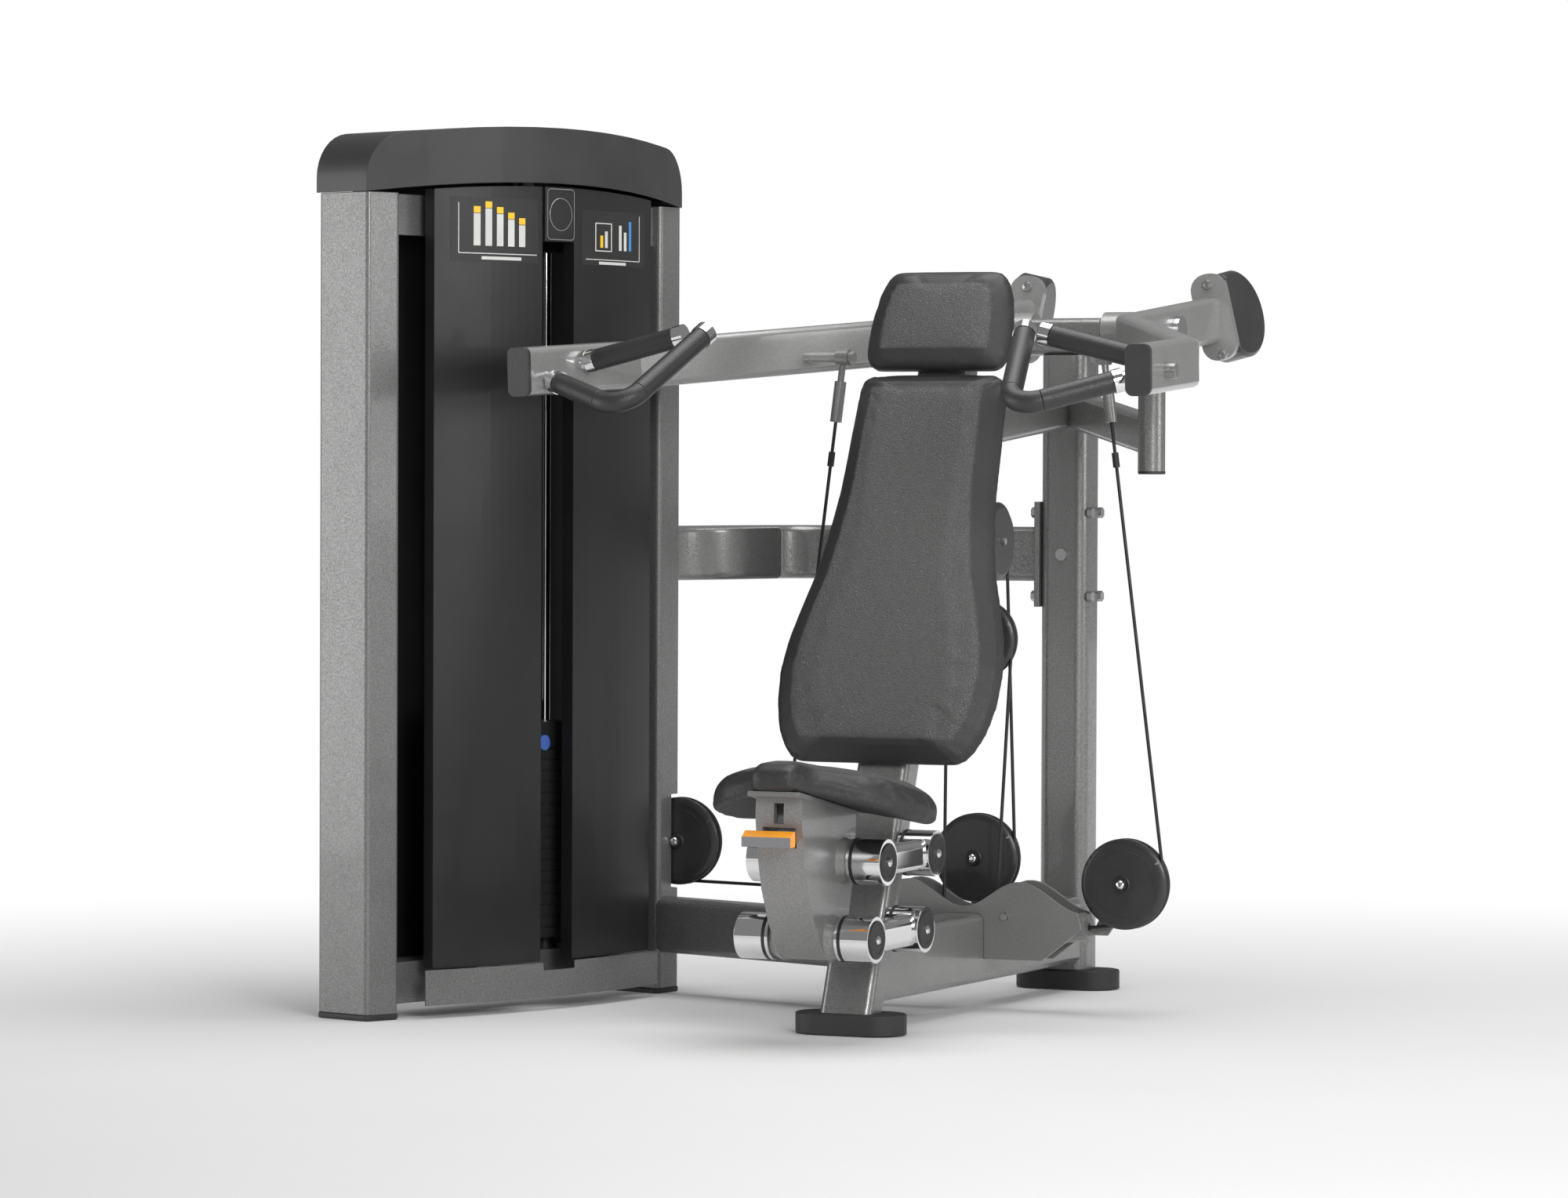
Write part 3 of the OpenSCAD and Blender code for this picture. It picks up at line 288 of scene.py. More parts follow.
@dataclass(frozen=True)
class SparklePaint(Finish):
    """Metallic paint with bright and dark flakes that show as a fine grain."""

    spread: float = 0.32
    flake: float = 400.0

    def pattern(self, place: Sock) -> Dict[str, Sock]:
        """Bright and dark flakes under slow clouds.

        Args:
            place: Object coordinates, in metres.

        Returns:
            Socks by shader input name, with "Height" for relief.
        """
        flakes = place.noise(self.flake, 1.0).ramp(0.28, 0.72)
        cloud = place.noise(9.0).ramp(0.3, 0.7)
        dark = cloud.mix(scaled(self.colour, 1.0 - self.spread), scaled(self.colour, 1.06 - self.spread))
        bright = cloud.mix(scaled(self.colour, 1.0 + self.spread), scaled(self.colour, 1.06 + self.spread))
        return {
            "Base Color": flakes.mix(dark, bright),
            "Roughness": self.roughness + (flakes - 0.5) * -0.14,
            "Height": flakes * 0.6,
        }

    def relief(self) -> float:
        """Depth of the flakes, in metres."""
        return 0.00006


@dataclass(frozen=True)
class Polished(Finish):
    """Bright metal with faint wipe marks."""

    def pattern(self, place: Sock) -> Dict[str, Sock]:
        """Wipe marks and faint smears.

        Args:
            place: Object coordinates, in metres.

        Returns:
            Socks by shader input name, with "Height" for relief.
        """
        wipe = place.noise(60.0, 4.0)
        smear = place.noise(7.0).ramp(0.45, 0.75)
        return {
            "Base Color": wipe.mix(scaled(self.colour, 0.96), self.colour),
            "Roughness": self.roughness + wipe * 0.03 + smear * 0.04,
            "Height": wipe * 0.05,
        }


@dataclass(frozen=True)
class Moulded(Finish):
    """Moulded plastic or rubber with a fine spark-eroded grain."""

    grain: float = 700.0
    depth: float = 0.00012

    def pattern(self, place: Sock) -> Dict[str, Sock]:
        """Fine pits under slow clouds.

        Args:
            place: Object coordinates, in metres.

        Returns:
            Socks by shader input name, with "Height" for relief.
        """
        pits = place.cells(self.grain)
        cloud = place.noise(11.0)
        return {
            "Base Color": cloud.ramp(0.3, 0.7).mix(scaled(self.colour, 0.9), scaled(self.colour, 1.12)),
            "Roughness": self.roughness + (pits - 0.5) * 0.1 + (cloud - 0.5) * 0.1,
            "Height": pits,
        }

    def relief(self) -> float:
        """Depth of the pits, in metres."""
        return self.depth


@dataclass(frozen=True)
class Leatherette(Finish):
    """Coated fabric: pebbled on the face and smooth on the border, with the face painted lighter as painted
    light and the border left dark as painted shade.
    """

    pebble: float = 240.0
    # How many times lighter the face is painted than the border: painted light.
    face_painted_light_gain: float = 4.5

    def pattern(self, place: Sock) -> Dict[str, Sock]:
        """Pebbles and painted light on the face, and fine creases all over.

        Args:
            place: Object coordinates, in metres.

        Returns:
            Socks by shader input name, with "Height" for relief.
        """
        face = place.node("ShaderNodeAttribute", {"attribute_name": Cushion.FACE}, {}, "Fac")
        drift = place.node("ShaderNodeTexNoise", {}, {"Vector": place, "Scale": 160.0}, "Color")
        shares = {"Factor": 0.004, 4: place, 5: drift}
        warped = place.node("ShaderNodeMix", {"data_type": "VECTOR"}, shares, 1)
        pebbles = warped.cells(self.pebble, "DISTANCE_TO_EDGE").ramp(0.0, 0.22)
        creases = place.noise(1100.0)
        cloud = place.noise(8.0)
        worn = cloud.ramp(0.35, 0.7).mix(scaled(self.colour, 0.92), scaled(self.colour, 1.1))
        # Painted light: the face is painted several times lighter than the border, over its pebble grain,
        # so the border reads as painted shade.
        grain_and_painted_light = (face * (pebbles * 0.4 + 0.6)).mix(worn, scaled(self.colour, self.face_painted_light_gain))
        return {
            "Base Color": grain_and_painted_light,
            "Roughness": self.roughness + (cloud - 0.5) * 0.1 - pebbles * face * 0.06,
            "Height": pebbles * (face * 0.85 + 0.15) + creases * 0.2,
        }

    def relief(self) -> float:
        """Depth of the pebbles, in metres."""
        return 0.0011


@dataclass(frozen=True)
class TwoTone(Finish):
    """Lever plastic: its flat front is grey, all other faces keep the bright colour."""

    front: Colour = (0.2, 0.2, 0.21)
    front_y: float = -1.3375

    def pattern(self, place: Sock) -> Dict[str, Sock]:
        """The plain finish, with another colour on the front.

        Args:
            place: Object coordinates, in metres.

        Returns:
            Socks by shader input name, with "Height" for relief.
        """
        parts = super().pattern(place)
        is_front = place.axis("Y") < self.front_y
        parts["Base Color"] = is_front.mix(parts["Base Color"], self.front)
        return parts


SILVER = SparklePaint("silver_paint", (0.175, 0.174, 0.172), 0.40, 0.35, 0.25, "tower_paint", spread=0.2)
FRAME = SparklePaint("frame_paint", (0.205, 0.203, 0.200), 0.33, 0.45, 0.5, "frame_paint", spread=0.3)
# The frame paint again, painted lighter on the arms: painted light for the brighter light that falls on
# them.
LIT_ARM_PAINT = SparklePaint("arm_paint", (0.28, 0.278, 0.275), 0.34, 0.35, 0.5, "frame_paint", spread=0.16,
                   flake=520.0)
CASTING = SparklePaint("casting_paint", (0.23, 0.228, 0.225), 0.36, 0.4, 0.35, "casting", spread=0.2,
                       flake=520.0)
CHARCOAL = Moulded("charcoal_plastic", (0.030, 0.030, 0.031), 0.46, 0.0, 0.05, "cap_plastic")
PANEL = Finish("panel_satin", (0.012, 0.012, 0.0125), 0.40, 0.0, 0.05, "panel")
BLACK_SHEET = Finish("black_sheet", (0.010, 0.010, 0.010), 0.5, slot="black_sheet")
CHROME = Polished("chrome", (0.80, 0.80, 0.81), 0.06, 1.0, slot="chrome")
ZINC = Polished("zinc", (0.52, 0.52, 0.52), 0.28, 1.0, slot="steel")
RUBBER = Moulded("rubber", (0.026, 0.026, 0.027), 0.55, slot="rubber", depth=0.0002)
GRIP = Moulded("grip_rubber", (0.024, 0.024, 0.024), 0.42, slot="rubber", grain=420.0, depth=0.0003)
NYLON = Moulded("nylon", (0.028, 0.028, 0.029), 0.34, 0.0, 0.15, "pulley")
MOULDING = Moulded("black_moulding", (0.015, 0.015, 0.015), 0.45, slot="black_plastic")
CABLE = Moulded("cable_coat", (0.010, 0.010, 0.010), 0.4, slot="cable")
IRON = Moulded("stack_iron", (0.030, 0.030, 0.030), 0.45, slot="stack_iron", grain=260.0, depth=0.0003)
WEIGHT = Moulded("weight_coat", (0.034, 0.034, 0.034), 0.36, 0.0, 0.2, "weight", grain=300.0)
# Its face is painted lighter than its border: painted light on the face, painted shade on the border.
LEATHER = Leatherette("leatherette", (0.024, 0.0238, 0.0235), 0.46, slot="leatherette")
BLUE = Finish("selector_blue", (0.012, 0.085, 0.42), 0.28, 0.0, 0.4, "selector")
LEVER = TwoTone("lever_orange", (0.95, 0.36, 0.012), 0.32, 0.0, 0.3, "lever")
YELLOW = Finish("mark_yellow", (0.85, 0.52, 0.02), 0.4, slot="panel")
PALE = Finish("mark_pale", (0.62, 0.62, 0.60), 0.45, slot="panel")
SKY = Finish("mark_blue", (0.06, 0.25, 0.55), 0.4, slot="panel")
DARK_MARK = Finish("mark_dark", (0.02, 0.02, 0.02), 0.45, slot="panel")
BADGE = Polished("badge_satin", (0.06, 0.06, 0.062), 0.34, 0.8, slot="badge")
BADGE_RIM = Polished("badge_rim", (0.55, 0.55, 0.55), 0.3, 0.9, slot="badge")


def only(obj: bpy.types.Object) -> bpy.types.Object:
    """Deselects everything, then selects and activates one object.

    Args:
        obj: The object.

    Returns:
        The same object.
    """
    bpy.ops.object.select_all(action="DESELECT")
    obj.select_set(True)
    bpy.context.view_layer.objects.active = obj
    return obj


def modify(obj: bpy.types.Object, kind: str, **settings: object) -> None:
    """Adds one modifier and applies it.

    Args:
        obj: The mesh object.
        kind: Modifier type.
        settings: Attributes of the modifier.
    """
    only(obj)
    added = obj.modifiers.new(kind.title(), kind)
    for name, value in settings.items():
        setattr(added, name, value)
    bpy.ops.object.modifier_apply(modifier=added.name)


def smooth(obj: bpy.types.Object, degrees: float = 32.0) -> None:
    """Shades smooth across edges flatter than an angle."""
    only(obj)
    bpy.ops.object.shade_smooth_by_angle(angle=math.radians(degrees))


def finish_piece(obj: bpy.types.Object, name: str, finish: Finish, body: str) -> bpy.types.Object:
    """Applies an object's place to its mesh, paints it and lets it ride on a body.

    Args:
        obj: The finished mesh object.
        name: Name of the piece.
        finish: Its surface.
        body: CAD body it moves with.

    Returns:
        The same object.
    """
    only(obj)
    bpy.ops.object.transform_apply(location=True, rotation=True, scale=True)
    obj.name = name
    obj.data.materials.clear()
    obj.data.materials.append(finish.material())
    log.info("piece %s on %s", name, body)
    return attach(obj, body)


def body_of(node: str) -> str:
    """The CAD body that holds a node."""
    return frame["nodes"][node]["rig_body"]


def copy_node(node: str) -> bpy.types.Object:
    """Copies a CAD node's mesh into a new object with welded corners.

    Args:
        node: CAD node.

    Returns:
        The copy.
    """
    only(frame["nodes"][node])
    bpy.ops.object.duplicate()
    made = bpy.context.view_layer.objects.active
    bpy.ops.object.parent_clear(type="CLEAR_KEEP_TRANSFORM")
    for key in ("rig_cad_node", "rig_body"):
        if key in made:
            del made[key]
    bpy.ops.object.mode_set(mode="EDIT")
    bpy.ops.mesh.select_all(action="SELECT")
    bpy.ops.mesh.remove_doubles(threshold=0.00002)
    bpy.ops.mesh.dissolve_limited(angle_limit=math.radians(1.0))
    bpy.ops.object.mode_set(mode="OBJECT")
    return made


def soften(node: str, finish: Finish, width: float, segments: int = 2,
           limit: float = 40.0) -> bpy.types.Object:
    """Replaces a CAD node by a copy whose hard edges are rounded.

    Args:
        node: CAD node.
        finish: Its surface.
        width: Width of the edge rounding.
        segments: Steps of the rounding.
        limit: Edges sharper than this many degrees are rounded.

    Returns:
        The copy.
    """
    made = copy_node(node)
    modify(made, "BEVEL", width=width, segments=segments, limit_method="ANGLE",
           angle_limit=math.radians(limit), use_clamp_overlap=True)
    smooth(made)
    modify(made, "WEIGHTED_NORMAL", keep_sharp=True)
    finish_piece(made, node + "_look", finish, body_of(node))
    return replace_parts(made, node)


def carry(finish: Finish, *nodes: str) -> None:
    """Paints CAD nodes that are shown as they are.

    Args:
        finish: Their surface.
        nodes: CAD nodes.
    """
    for node in nodes:
        mesh = frame["nodes"][node].data
        mesh.materials.clear()
        mesh.materials.append(finish.material())
        log.info("painted %s", node)


def tube(name: str, points: Sequence[Point], radius: float, sides: int = 6) -> bpy.types.Object:
    """A round cord along points.

    Args:
        name: Object name.
        points: Route, in metres.
        radius: Cord radius.
        sides: Quarter resolution of the section.

    Returns:
        A closed mesh tube.
    """
    bpy.ops.object.select_all(action="DESELECT")
    bpy.ops.curve.primitive_nurbs_path_add()
    made = bpy.context.view_layer.objects.active
    spline = made.data.splines[0]
    spline.type = "POLY"
    spline.points.add(len(points) - len(spline.points))
    for slot, point in zip(spline.points, points):
        slot.co = (*point, 1.0)
    made.data.bevel_depth = radius
    made.data.bevel_resolution = sides
    made.data.use_fill_caps = True
    made.data.dimensions = "3D"
    made.location = (0.0, 0.0, 0.0)
    only(made)
    bpy.ops.object.convert(target="MESH")
    made.name = name
    return made


def lathe(name: str, profile: Sequence[Tuple[float, float]], steps: int = 64) -> bpy.types.Object:
    """A turned piece about Z, spun in edit mode from its half section.

    Args:
        name: Object name.
        profile: Radius and height pairs from the axis to the axis.
        steps: Steps of the turn.

    Returns:
        A closed turned mesh.
    """
    bpy.ops.object.select_all(action="DESELECT")
    bpy.ops.mesh.primitive_plane_add(size=1.0)
    made = bpy.context.view_layer.objects.active
    bpy.ops.object.mode_set(mode="EDIT")
    bpy.ops.mesh.select_all(action="SELECT")
    bpy.ops.mesh.merge(type="CENTER")
    start = Vector((profile[0][0], 0.0, profile[0][1]))
    bpy.ops.transform.translate(value=start)
    for before, after in zip(profile, profile[1:]):
        step = (after[0] - before[0], 0.0, after[1] - before[1])
        bpy.ops.mesh.extrude_region_move(TRANSFORM_OT_translate={"value": step})
    bpy.ops.mesh.select_all(action="SELECT")
    bpy.ops.mesh.spin(steps=steps, angle=math.tau, center=(0.0, 0.0, 0.0), axis=(0.0, 0.0, 1.0))
    bpy.ops.mesh.select_all(action="SELECT")
    bpy.ops.mesh.remove_doubles(threshold=0.00001)
    bpy.ops.mesh.normals_make_consistent(inside=False)
    bpy.ops.object.mode_set(mode="OBJECT")
    made.name = name
    smooth(made)
    return made


def aim(obj: bpy.types.Object, at: Point, axis: Point) -> bpy.types.Object:
    """Moves an object's origin to a point and turns its Z axis along a direction.

    Args:
        obj: The object.
        at: The point.
        axis: The direction.

    Returns:
        The same object.
    """
    obj.matrix_world = Matrix.Translation(at) @ Vector(axis).to_track_quat("Z", "Y").to_matrix().to_4x4()
    bpy.context.view_layer.update()
    return obj


def another(obj: bpy.types.Object) -> bpy.types.Object:
    """Copies a modelled piece with its mesh.

    Args:
        obj: The piece.

    Returns:
        The copy, with a mesh of its own.
    """
    only(obj)
    bpy.ops.object.duplicate()
    return bpy.context.view_layer.objects.active


@dataclass
class Stamp:
    """A small turned piece that is modelled once and set in many places.

    Attributes:
        name: Stem of the pieces' names.
        finish: Their surface.
        profile: Half section as radius and height pairs.
        count: How many are set.
    """

    name: str
    finish: Finish
    profile: Sequence[Tuple[float, float]]
    count: int = 0

    def put(self, at: Point, axis: Point, body: str) -> None:
        """Sets one more of them.

        Args:
            at: Point on the surface that carries it.
            axis: Direction out of the surface.
            body: CAD body it rides on.
        """
        stock = bpy.data.objects.get(self.name) or lathe(self.name, self.profile)
        made = another(stock)
        self.count += 1
        finish_piece(aim(made, at, axis), f"{self.name}_{self.count}", self.finish, body)

    def clear(self) -> None:
        """Takes the stock piece away."""
        stock = bpy.data.objects.get(self.name)
        if stock:
            only(stock)
            bpy.ops.object.delete()


def hoop(inner: float, outer: float, height: float) -> List[Tuple[float, float]]:
    """Half section of a flat ring with an eased outer corner.

    Args:
        inner: Inner radius.
        outer: Outer radius.
        height: Thickness of the ring.

    Returns:
        Radius and height pairs.
    """
    ease = min(outer - inner, height) * 0.3
    rim = [(outer, height - ease), (outer - ease, height)]
    return [(inner, 0.0), (outer, 0.0), *rim, (inner, height), (inner, 0.0)]


BUTTON = Stamp("button_bolt", CHROME, [(0.0, 0.0), (0.0075, 0.0), (0.0075, 0.0018), (0.0058, 0.0040),
                                       (0.0034, 0.0047), (0.0030, 0.0030), (0.0, 0.0030)])
LINK_DISC = Stamp("link_disc", MOULDING, [(0.0, 0.0), (0.0325, 0.0), (0.0325, 0.0012), (0.0310, 0.0026),
                                          (0.0235, 0.0026), (0.0225, 0.0018), (0.0, 0.0018)])
LINK_RING = Stamp("link_ring", MOULDING, hoop(0.0380, 0.0396, 0.0060))
WHEEL_RING = Stamp("wheel_ring", NYLON, hoop(0.0575, 0.0592, MARK_THICKNESS))
WHEEL_HUB = Stamp("wheel_hub", MOULDING, [(0.0, 0.0), (0.0150, 0.0), (0.0150, 0.0015), (0.0125, 0.0030),
                                          (0.0115, 0.0105), (0.0, 0.0105)])
BADGE_RING = Stamp("badge_ring", BADGE_RIM, hoop(0.0278, 0.0290, MARK_THICKNESS))
PLATE_BOLT = Stamp("plate_bolt", ZINC, [(0.0, 0.0), (0.0095, 0.0), (0.0095, 0.0022), (0.0080, 0.0052),
                                        (0.0046, 0.0058), (0.0042, 0.0036), (0.0, 0.0036)])
ARM_STUD = Stamp("arm_stud", FRAME, [(0.0, 0.0), (0.0130, 0.0), (0.0130, 0.0175), (0.0112, 0.0195),
                                     (0.0, 0.0195)])
POST_CAP = Stamp("post_cap", RUBBER, [(0.0, 0.0), (0.0242, 0.0), (0.0242, 0.0040), (0.0225, 0.0055),
                                      (0.0, 0.0055)])
STAMPS = (BUTTON, LINK_DISC, LINK_RING, WHEEL_RING, WHEEL_HUB, BADGE_RING, PLATE_BOLT, ARM_STUD, POST_CAP)


def touch(solid: bpy.types.Object, near: Point) -> Tuple[Vector, Vector]:
    """The point of a piece's surface nearest to a place.

    Args:
        solid: The piece.
        near: A place close to its surface.

    Returns:
        The point, and the direction out of the surface there.
    """
    to_world = solid.matrix_world
    _, at, normal, _ = solid.closest_point_on_mesh(to_world.inverted() @ Vector(near))
    return to_world @ at, (to_world.to_3x3() @ normal).normalized()


def border(name: str, width: float, height: float, corner: float, line: float) -> bpy.types.Object:
    """A thin rounded frame in the XY plane, its back at Z = 0.

    Args:
        name: Object name.
        width: Outer width.
        height: Outer height.
        corner: Corner radius.
        line: Width of the line.

    Returns:
        A closed mesh frame.
    """
    bpy.ops.object.select_all(action="DESELECT")
    bpy.ops.mesh.primitive_plane_add(size=1.0)
    made = bpy.context.view_layer.objects.active
    made.scale = (width, height, 1.0)
    bpy.ops.object.transform_apply(location=False, rotation=False, scale=True)
    bpy.ops.object.mode_set(mode="EDIT")
    bpy.ops.mesh.select_all(action="SELECT")
    bpy.ops.mesh.bevel(offset=corner, segments=6, affect="VERTICES")
    bpy.ops.mesh.select_all(action="SELECT")
    bpy.ops.mesh.inset(thickness=line)
    bpy.ops.mesh.delete(type="FACE")
    bpy.ops.mesh.select_all(action="SELECT")
    bpy.ops.mesh.extrude_region_move(TRANSFORM_OT_translate={"value": (0.0, 0.0, MARK_THICKNESS)})
    bpy.ops.mesh.select_all(action="SELECT")
    bpy.ops.mesh.normals_make_consistent(inside=False)
    bpy.ops.object.mode_set(mode="OBJECT")
    made.name = name
    return made


@dataclass
class Cushion:
    """A padded cover: a pressed-out copy of its CAD solid with a grained front that is painted lighter, as
    painted light.

    Attributes:
        node: CAD node of the pad.
        out: Direction out of the board it sits on.
        along: Direction of its length.
        widest: Height of its widest outline over the board.
        seam: Distance of the front's edge from that outline.
        lift: Height above which a point belongs to the front.
        cap: Farthest that pressure may move a point.
        droop: How far its side wings hang below its middle.
        wing: Half widths between which the wings fall.
        voxel: Mesh width of the cover.
        blur: Width over which the grain and the painted light fade at the front's edge.
        held: Height below which the cover is held while it is pressed out.
        shrink: How much smaller the cover starts.
        pressure: Pressure inside the cover.
        steps: Steps of the simulation.
        base: Where the board lies along out, found from the pad.
    """

    node: str
    out: Vector
    along: Vector
    widest: float
    seam: float
    lift: float
    cap: float = 0.004
    droop: float = 0.0
    wing: Tuple[float, float] = (0.050, 0.193)
    voxel: float = 0.006
    blur: float = 0.003
    held: float = 0.010
    shrink: float = 0.0025
    pressure: float = 4.0
    steps: int = 20
    base: float = 0.0

    FACE = "pad_face"

    def build(self) -> bpy.types.Object:
        """Makes the pad and lets it stand for its CAD node.

        Returns:
            The pad.
        """
        made = copy_node(self.node)
        level = self.wing[0] if self.droop else 1.0
        self.base = min(self.height(v.co) for v in made.data.vertices if abs(v.co.x) < level)
        rim = self.rim([vertex.co.copy() for vertex in made.data.vertices])
        modify(made, "REMESH", mode="VOXEL", voxel_size=self.voxel)
        modify(made, "SMOOTH", factor=0.5, iterations=4)
        self.inflate(made)
        insets = [self.inset(vertex.co, rim) for vertex in made.data.vertices]
        self.mark(made, insets)
        modify(made, "SUBSURF", levels=1, render_levels=1)
        for polygon in made.data.polygons:
            polygon.use_smooth = True
        finish_piece(made, self.node + "_look", LEATHER, body_of(self.node))
        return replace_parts(made, self.node)

    def height(self, point: Vector) -> float:
        """Height of a point over the board, with the fall of the wings taken out."""
        share = max(0.0, abs(point.x) - self.wing[0]) / (self.wing[1] - self.wing[0])
        return point.dot(self.out) - self.base + self.droop * share ** 1.2

    def flat(self, point: Vector) -> Tuple[float, float]:
        """A point's place in the plane of the board."""
        return point.x, point.dot(self.along)

    def rim(self, points: Sequence[Vector]) -> List[Tuple[float, float]]:
        """The widest outline as a closed run of plane points.

        Args:
            points: Corners of the CAD pad.

        Returns:
            The outline's points in order.
        """
        near = 0.0006 + self.droop * 0.2
        ring = [self.flat(p) for p in points if abs(self.height(p) - self.widest) < near]
        middle = (max(y for _, y in ring) + min(y for _, y in ring)) / 2
        return sorted(ring, key=lambda p: math.atan2(p[1] - middle, p[0]))

    def inset(self, point: Vector, rim: Sequence[Tuple[float, float]]) -> float:
        """Distance of a point from the widest outline, in the plane of the board.

        Args:
            point: The point.
            rim: The outline.

        Returns:
            The distance.
        """
        x, y = self.flat(point)
        least = 1.0
        for (ax, ay), (bx, by) in zip(rim, [*rim[1:], rim[0]]):
            dx, dy = bx - ax, by - ay
            share = max(0.0, min(1.0, ((x - ax) * dx + (y - ay) * dy) / max(dx * dx + dy * dy, 1e-12)))
            least = min(least, math.hypot(x - ax - share * dx, y - ay - share * dy))
        return least

    def mark(self, made: bpy.types.Object, insets: Sequence[float]) -> None:
        """Stores how far each point belongs to the grained face, which is also painted lighter as painted
        light.

        Args:
            made: The cover.
            insets: Each point's distance from the widest outline.
        """
        layer = made.data.attributes.new(self.FACE, "FLOAT", "POINT")
        for slot, vertex, inset in zip(layer.data, made.data.vertices, insets):
            front = self.height(vertex.co) > self.lift
            slot.value = max(0.0, min(1.0, (inset - self.seam) / self.blur)) if front else 0.0

    def inflate(self, made: bpy.types.Object) -> None:
        """Presses the cover out by a cloth simulation, with its underside held.

        Args:
            made: The cover.
        """
        held = made.vertex_groups.new(name="held")
        low = [vertex.index for vertex in made.data.vertices if self.height(vertex.co) < self.held]
        held.add(low, 1.0, "REPLACE")
        for vertex in made.data.vertices:
            if self.height(vertex.co) >= self.held:
                vertex.co -= vertex.normal * self.shrink
        before = [vertex.co.copy() for vertex in made.data.vertices]
        only(made)
        cloth = made.modifiers.new("Cloth", "CLOTH")
        cloth.settings.use_pressure = True
        cloth.settings.uniform_pressure_force = self.pressure
        cloth.settings.effector_weights.gravity = 0.0
        cloth.settings.vertex_group_mass = "held"
        cloth.settings.quality = 4
        cloth.point_cache.frame_start = 1
        cloth.point_cache.frame_end = self.steps
        for step in range(1, self.steps + 1):
            bpy.context.scene.frame_set(step)
        bpy.ops.object.modifier_apply(modifier=cloth.name)
        for vertex, old in zip(made.data.vertices, before):
            move = vertex.co - old
            if move.length > self.cap:
                vertex.co = old + move * (self.cap / move.length)
        bpy.context.scene.frame_set(1)
        made.vertex_groups.clear()


@dataclass
class Placard:
    """A blank instruction plate of plain bars, pressed onto the bowed panel.

    Attributes:
        name: Name of its pieces.
        node: Panel it lies on.
        middle: Its middle along the tower's width and up, on the panel.
        size: Width and height.
        bars: Each bar's middle and size as shares of the plate, and its finish.
        ahead: How far in front of the tower's middle a sheet starts.
        plate_rise: Height of the plate's face over the panel.
        bar_rise: Height of the bars' faces over the panel.
        thickness: Thickness of each sheet.
    """

    name: str
    node: str
    middle: Tuple[float, float]
    size: Tuple[float, float]
    bars: Sequence[Tuple[float, float, float, float, Finish]]
    ahead: float = 0.12
    plate_rise: float = 0.0004
    bar_rise: float = 0.0010
    thickness: float = 0.0005

    def build(self, tower: "Tower") -> None:
        """Lays the plate and its bars onto the panel.

        Args:
            tower: The tower that carries it.
        """
        self.sheet(tower, self.name, (0.0, 0.0, 1.0, 1.0), DARK_MARK, self.plate_rise)
        for index, (x, z, width, height, finish) in enumerate(self.bars):
            name = f"{self.name}_bar{index}"
            self.sheet(tower, name, (x, z, width, height), finish, self.bar_rise)

    def sheet(self, tower: "Tower", name: str, share: Tuple[float, float, float, float], finish: Finish,
              rise: float) -> None:
        """Presses one thin rectangle onto the panel.

        Args:
            tower: The tower that carries it.
            name: Name of the piece.
            share: Its middle and size as shares of the plate.
            finish: Its surface.
            rise: Height of its face over the panel.
        """
        across, up = (self.middle[i] + share[i] * self.size[i] for i in range(2))
        at = tower.point(across, -self.ahead, up)
        bpy.ops.object.select_all(action="DESELECT")
        bpy.ops.mesh.primitive_grid_add(x_subdivisions=12, y_subdivisions=2, size=1.0)
        made = bpy.context.view_layer.objects.active
        made.scale = (share[2] * self.size[0], share[3] * self.size[1], 1.0)
        bpy.ops.object.transform_apply(location=False, rotation=False, scale=True)
        made.matrix_world = Matrix.Translation(at) @ tower.upright
        modify(made, "SHRINKWRAP", target=frame["nodes"][self.node], wrap_method="PROJECT",
               use_negative_direction=True, use_positive_direction=False, use_project_z=True, offset=rise)
        modify(made, "SOLIDIFY", thickness=self.thickness, offset=-1.0)
        finish_piece(made, name, finish, "frame")


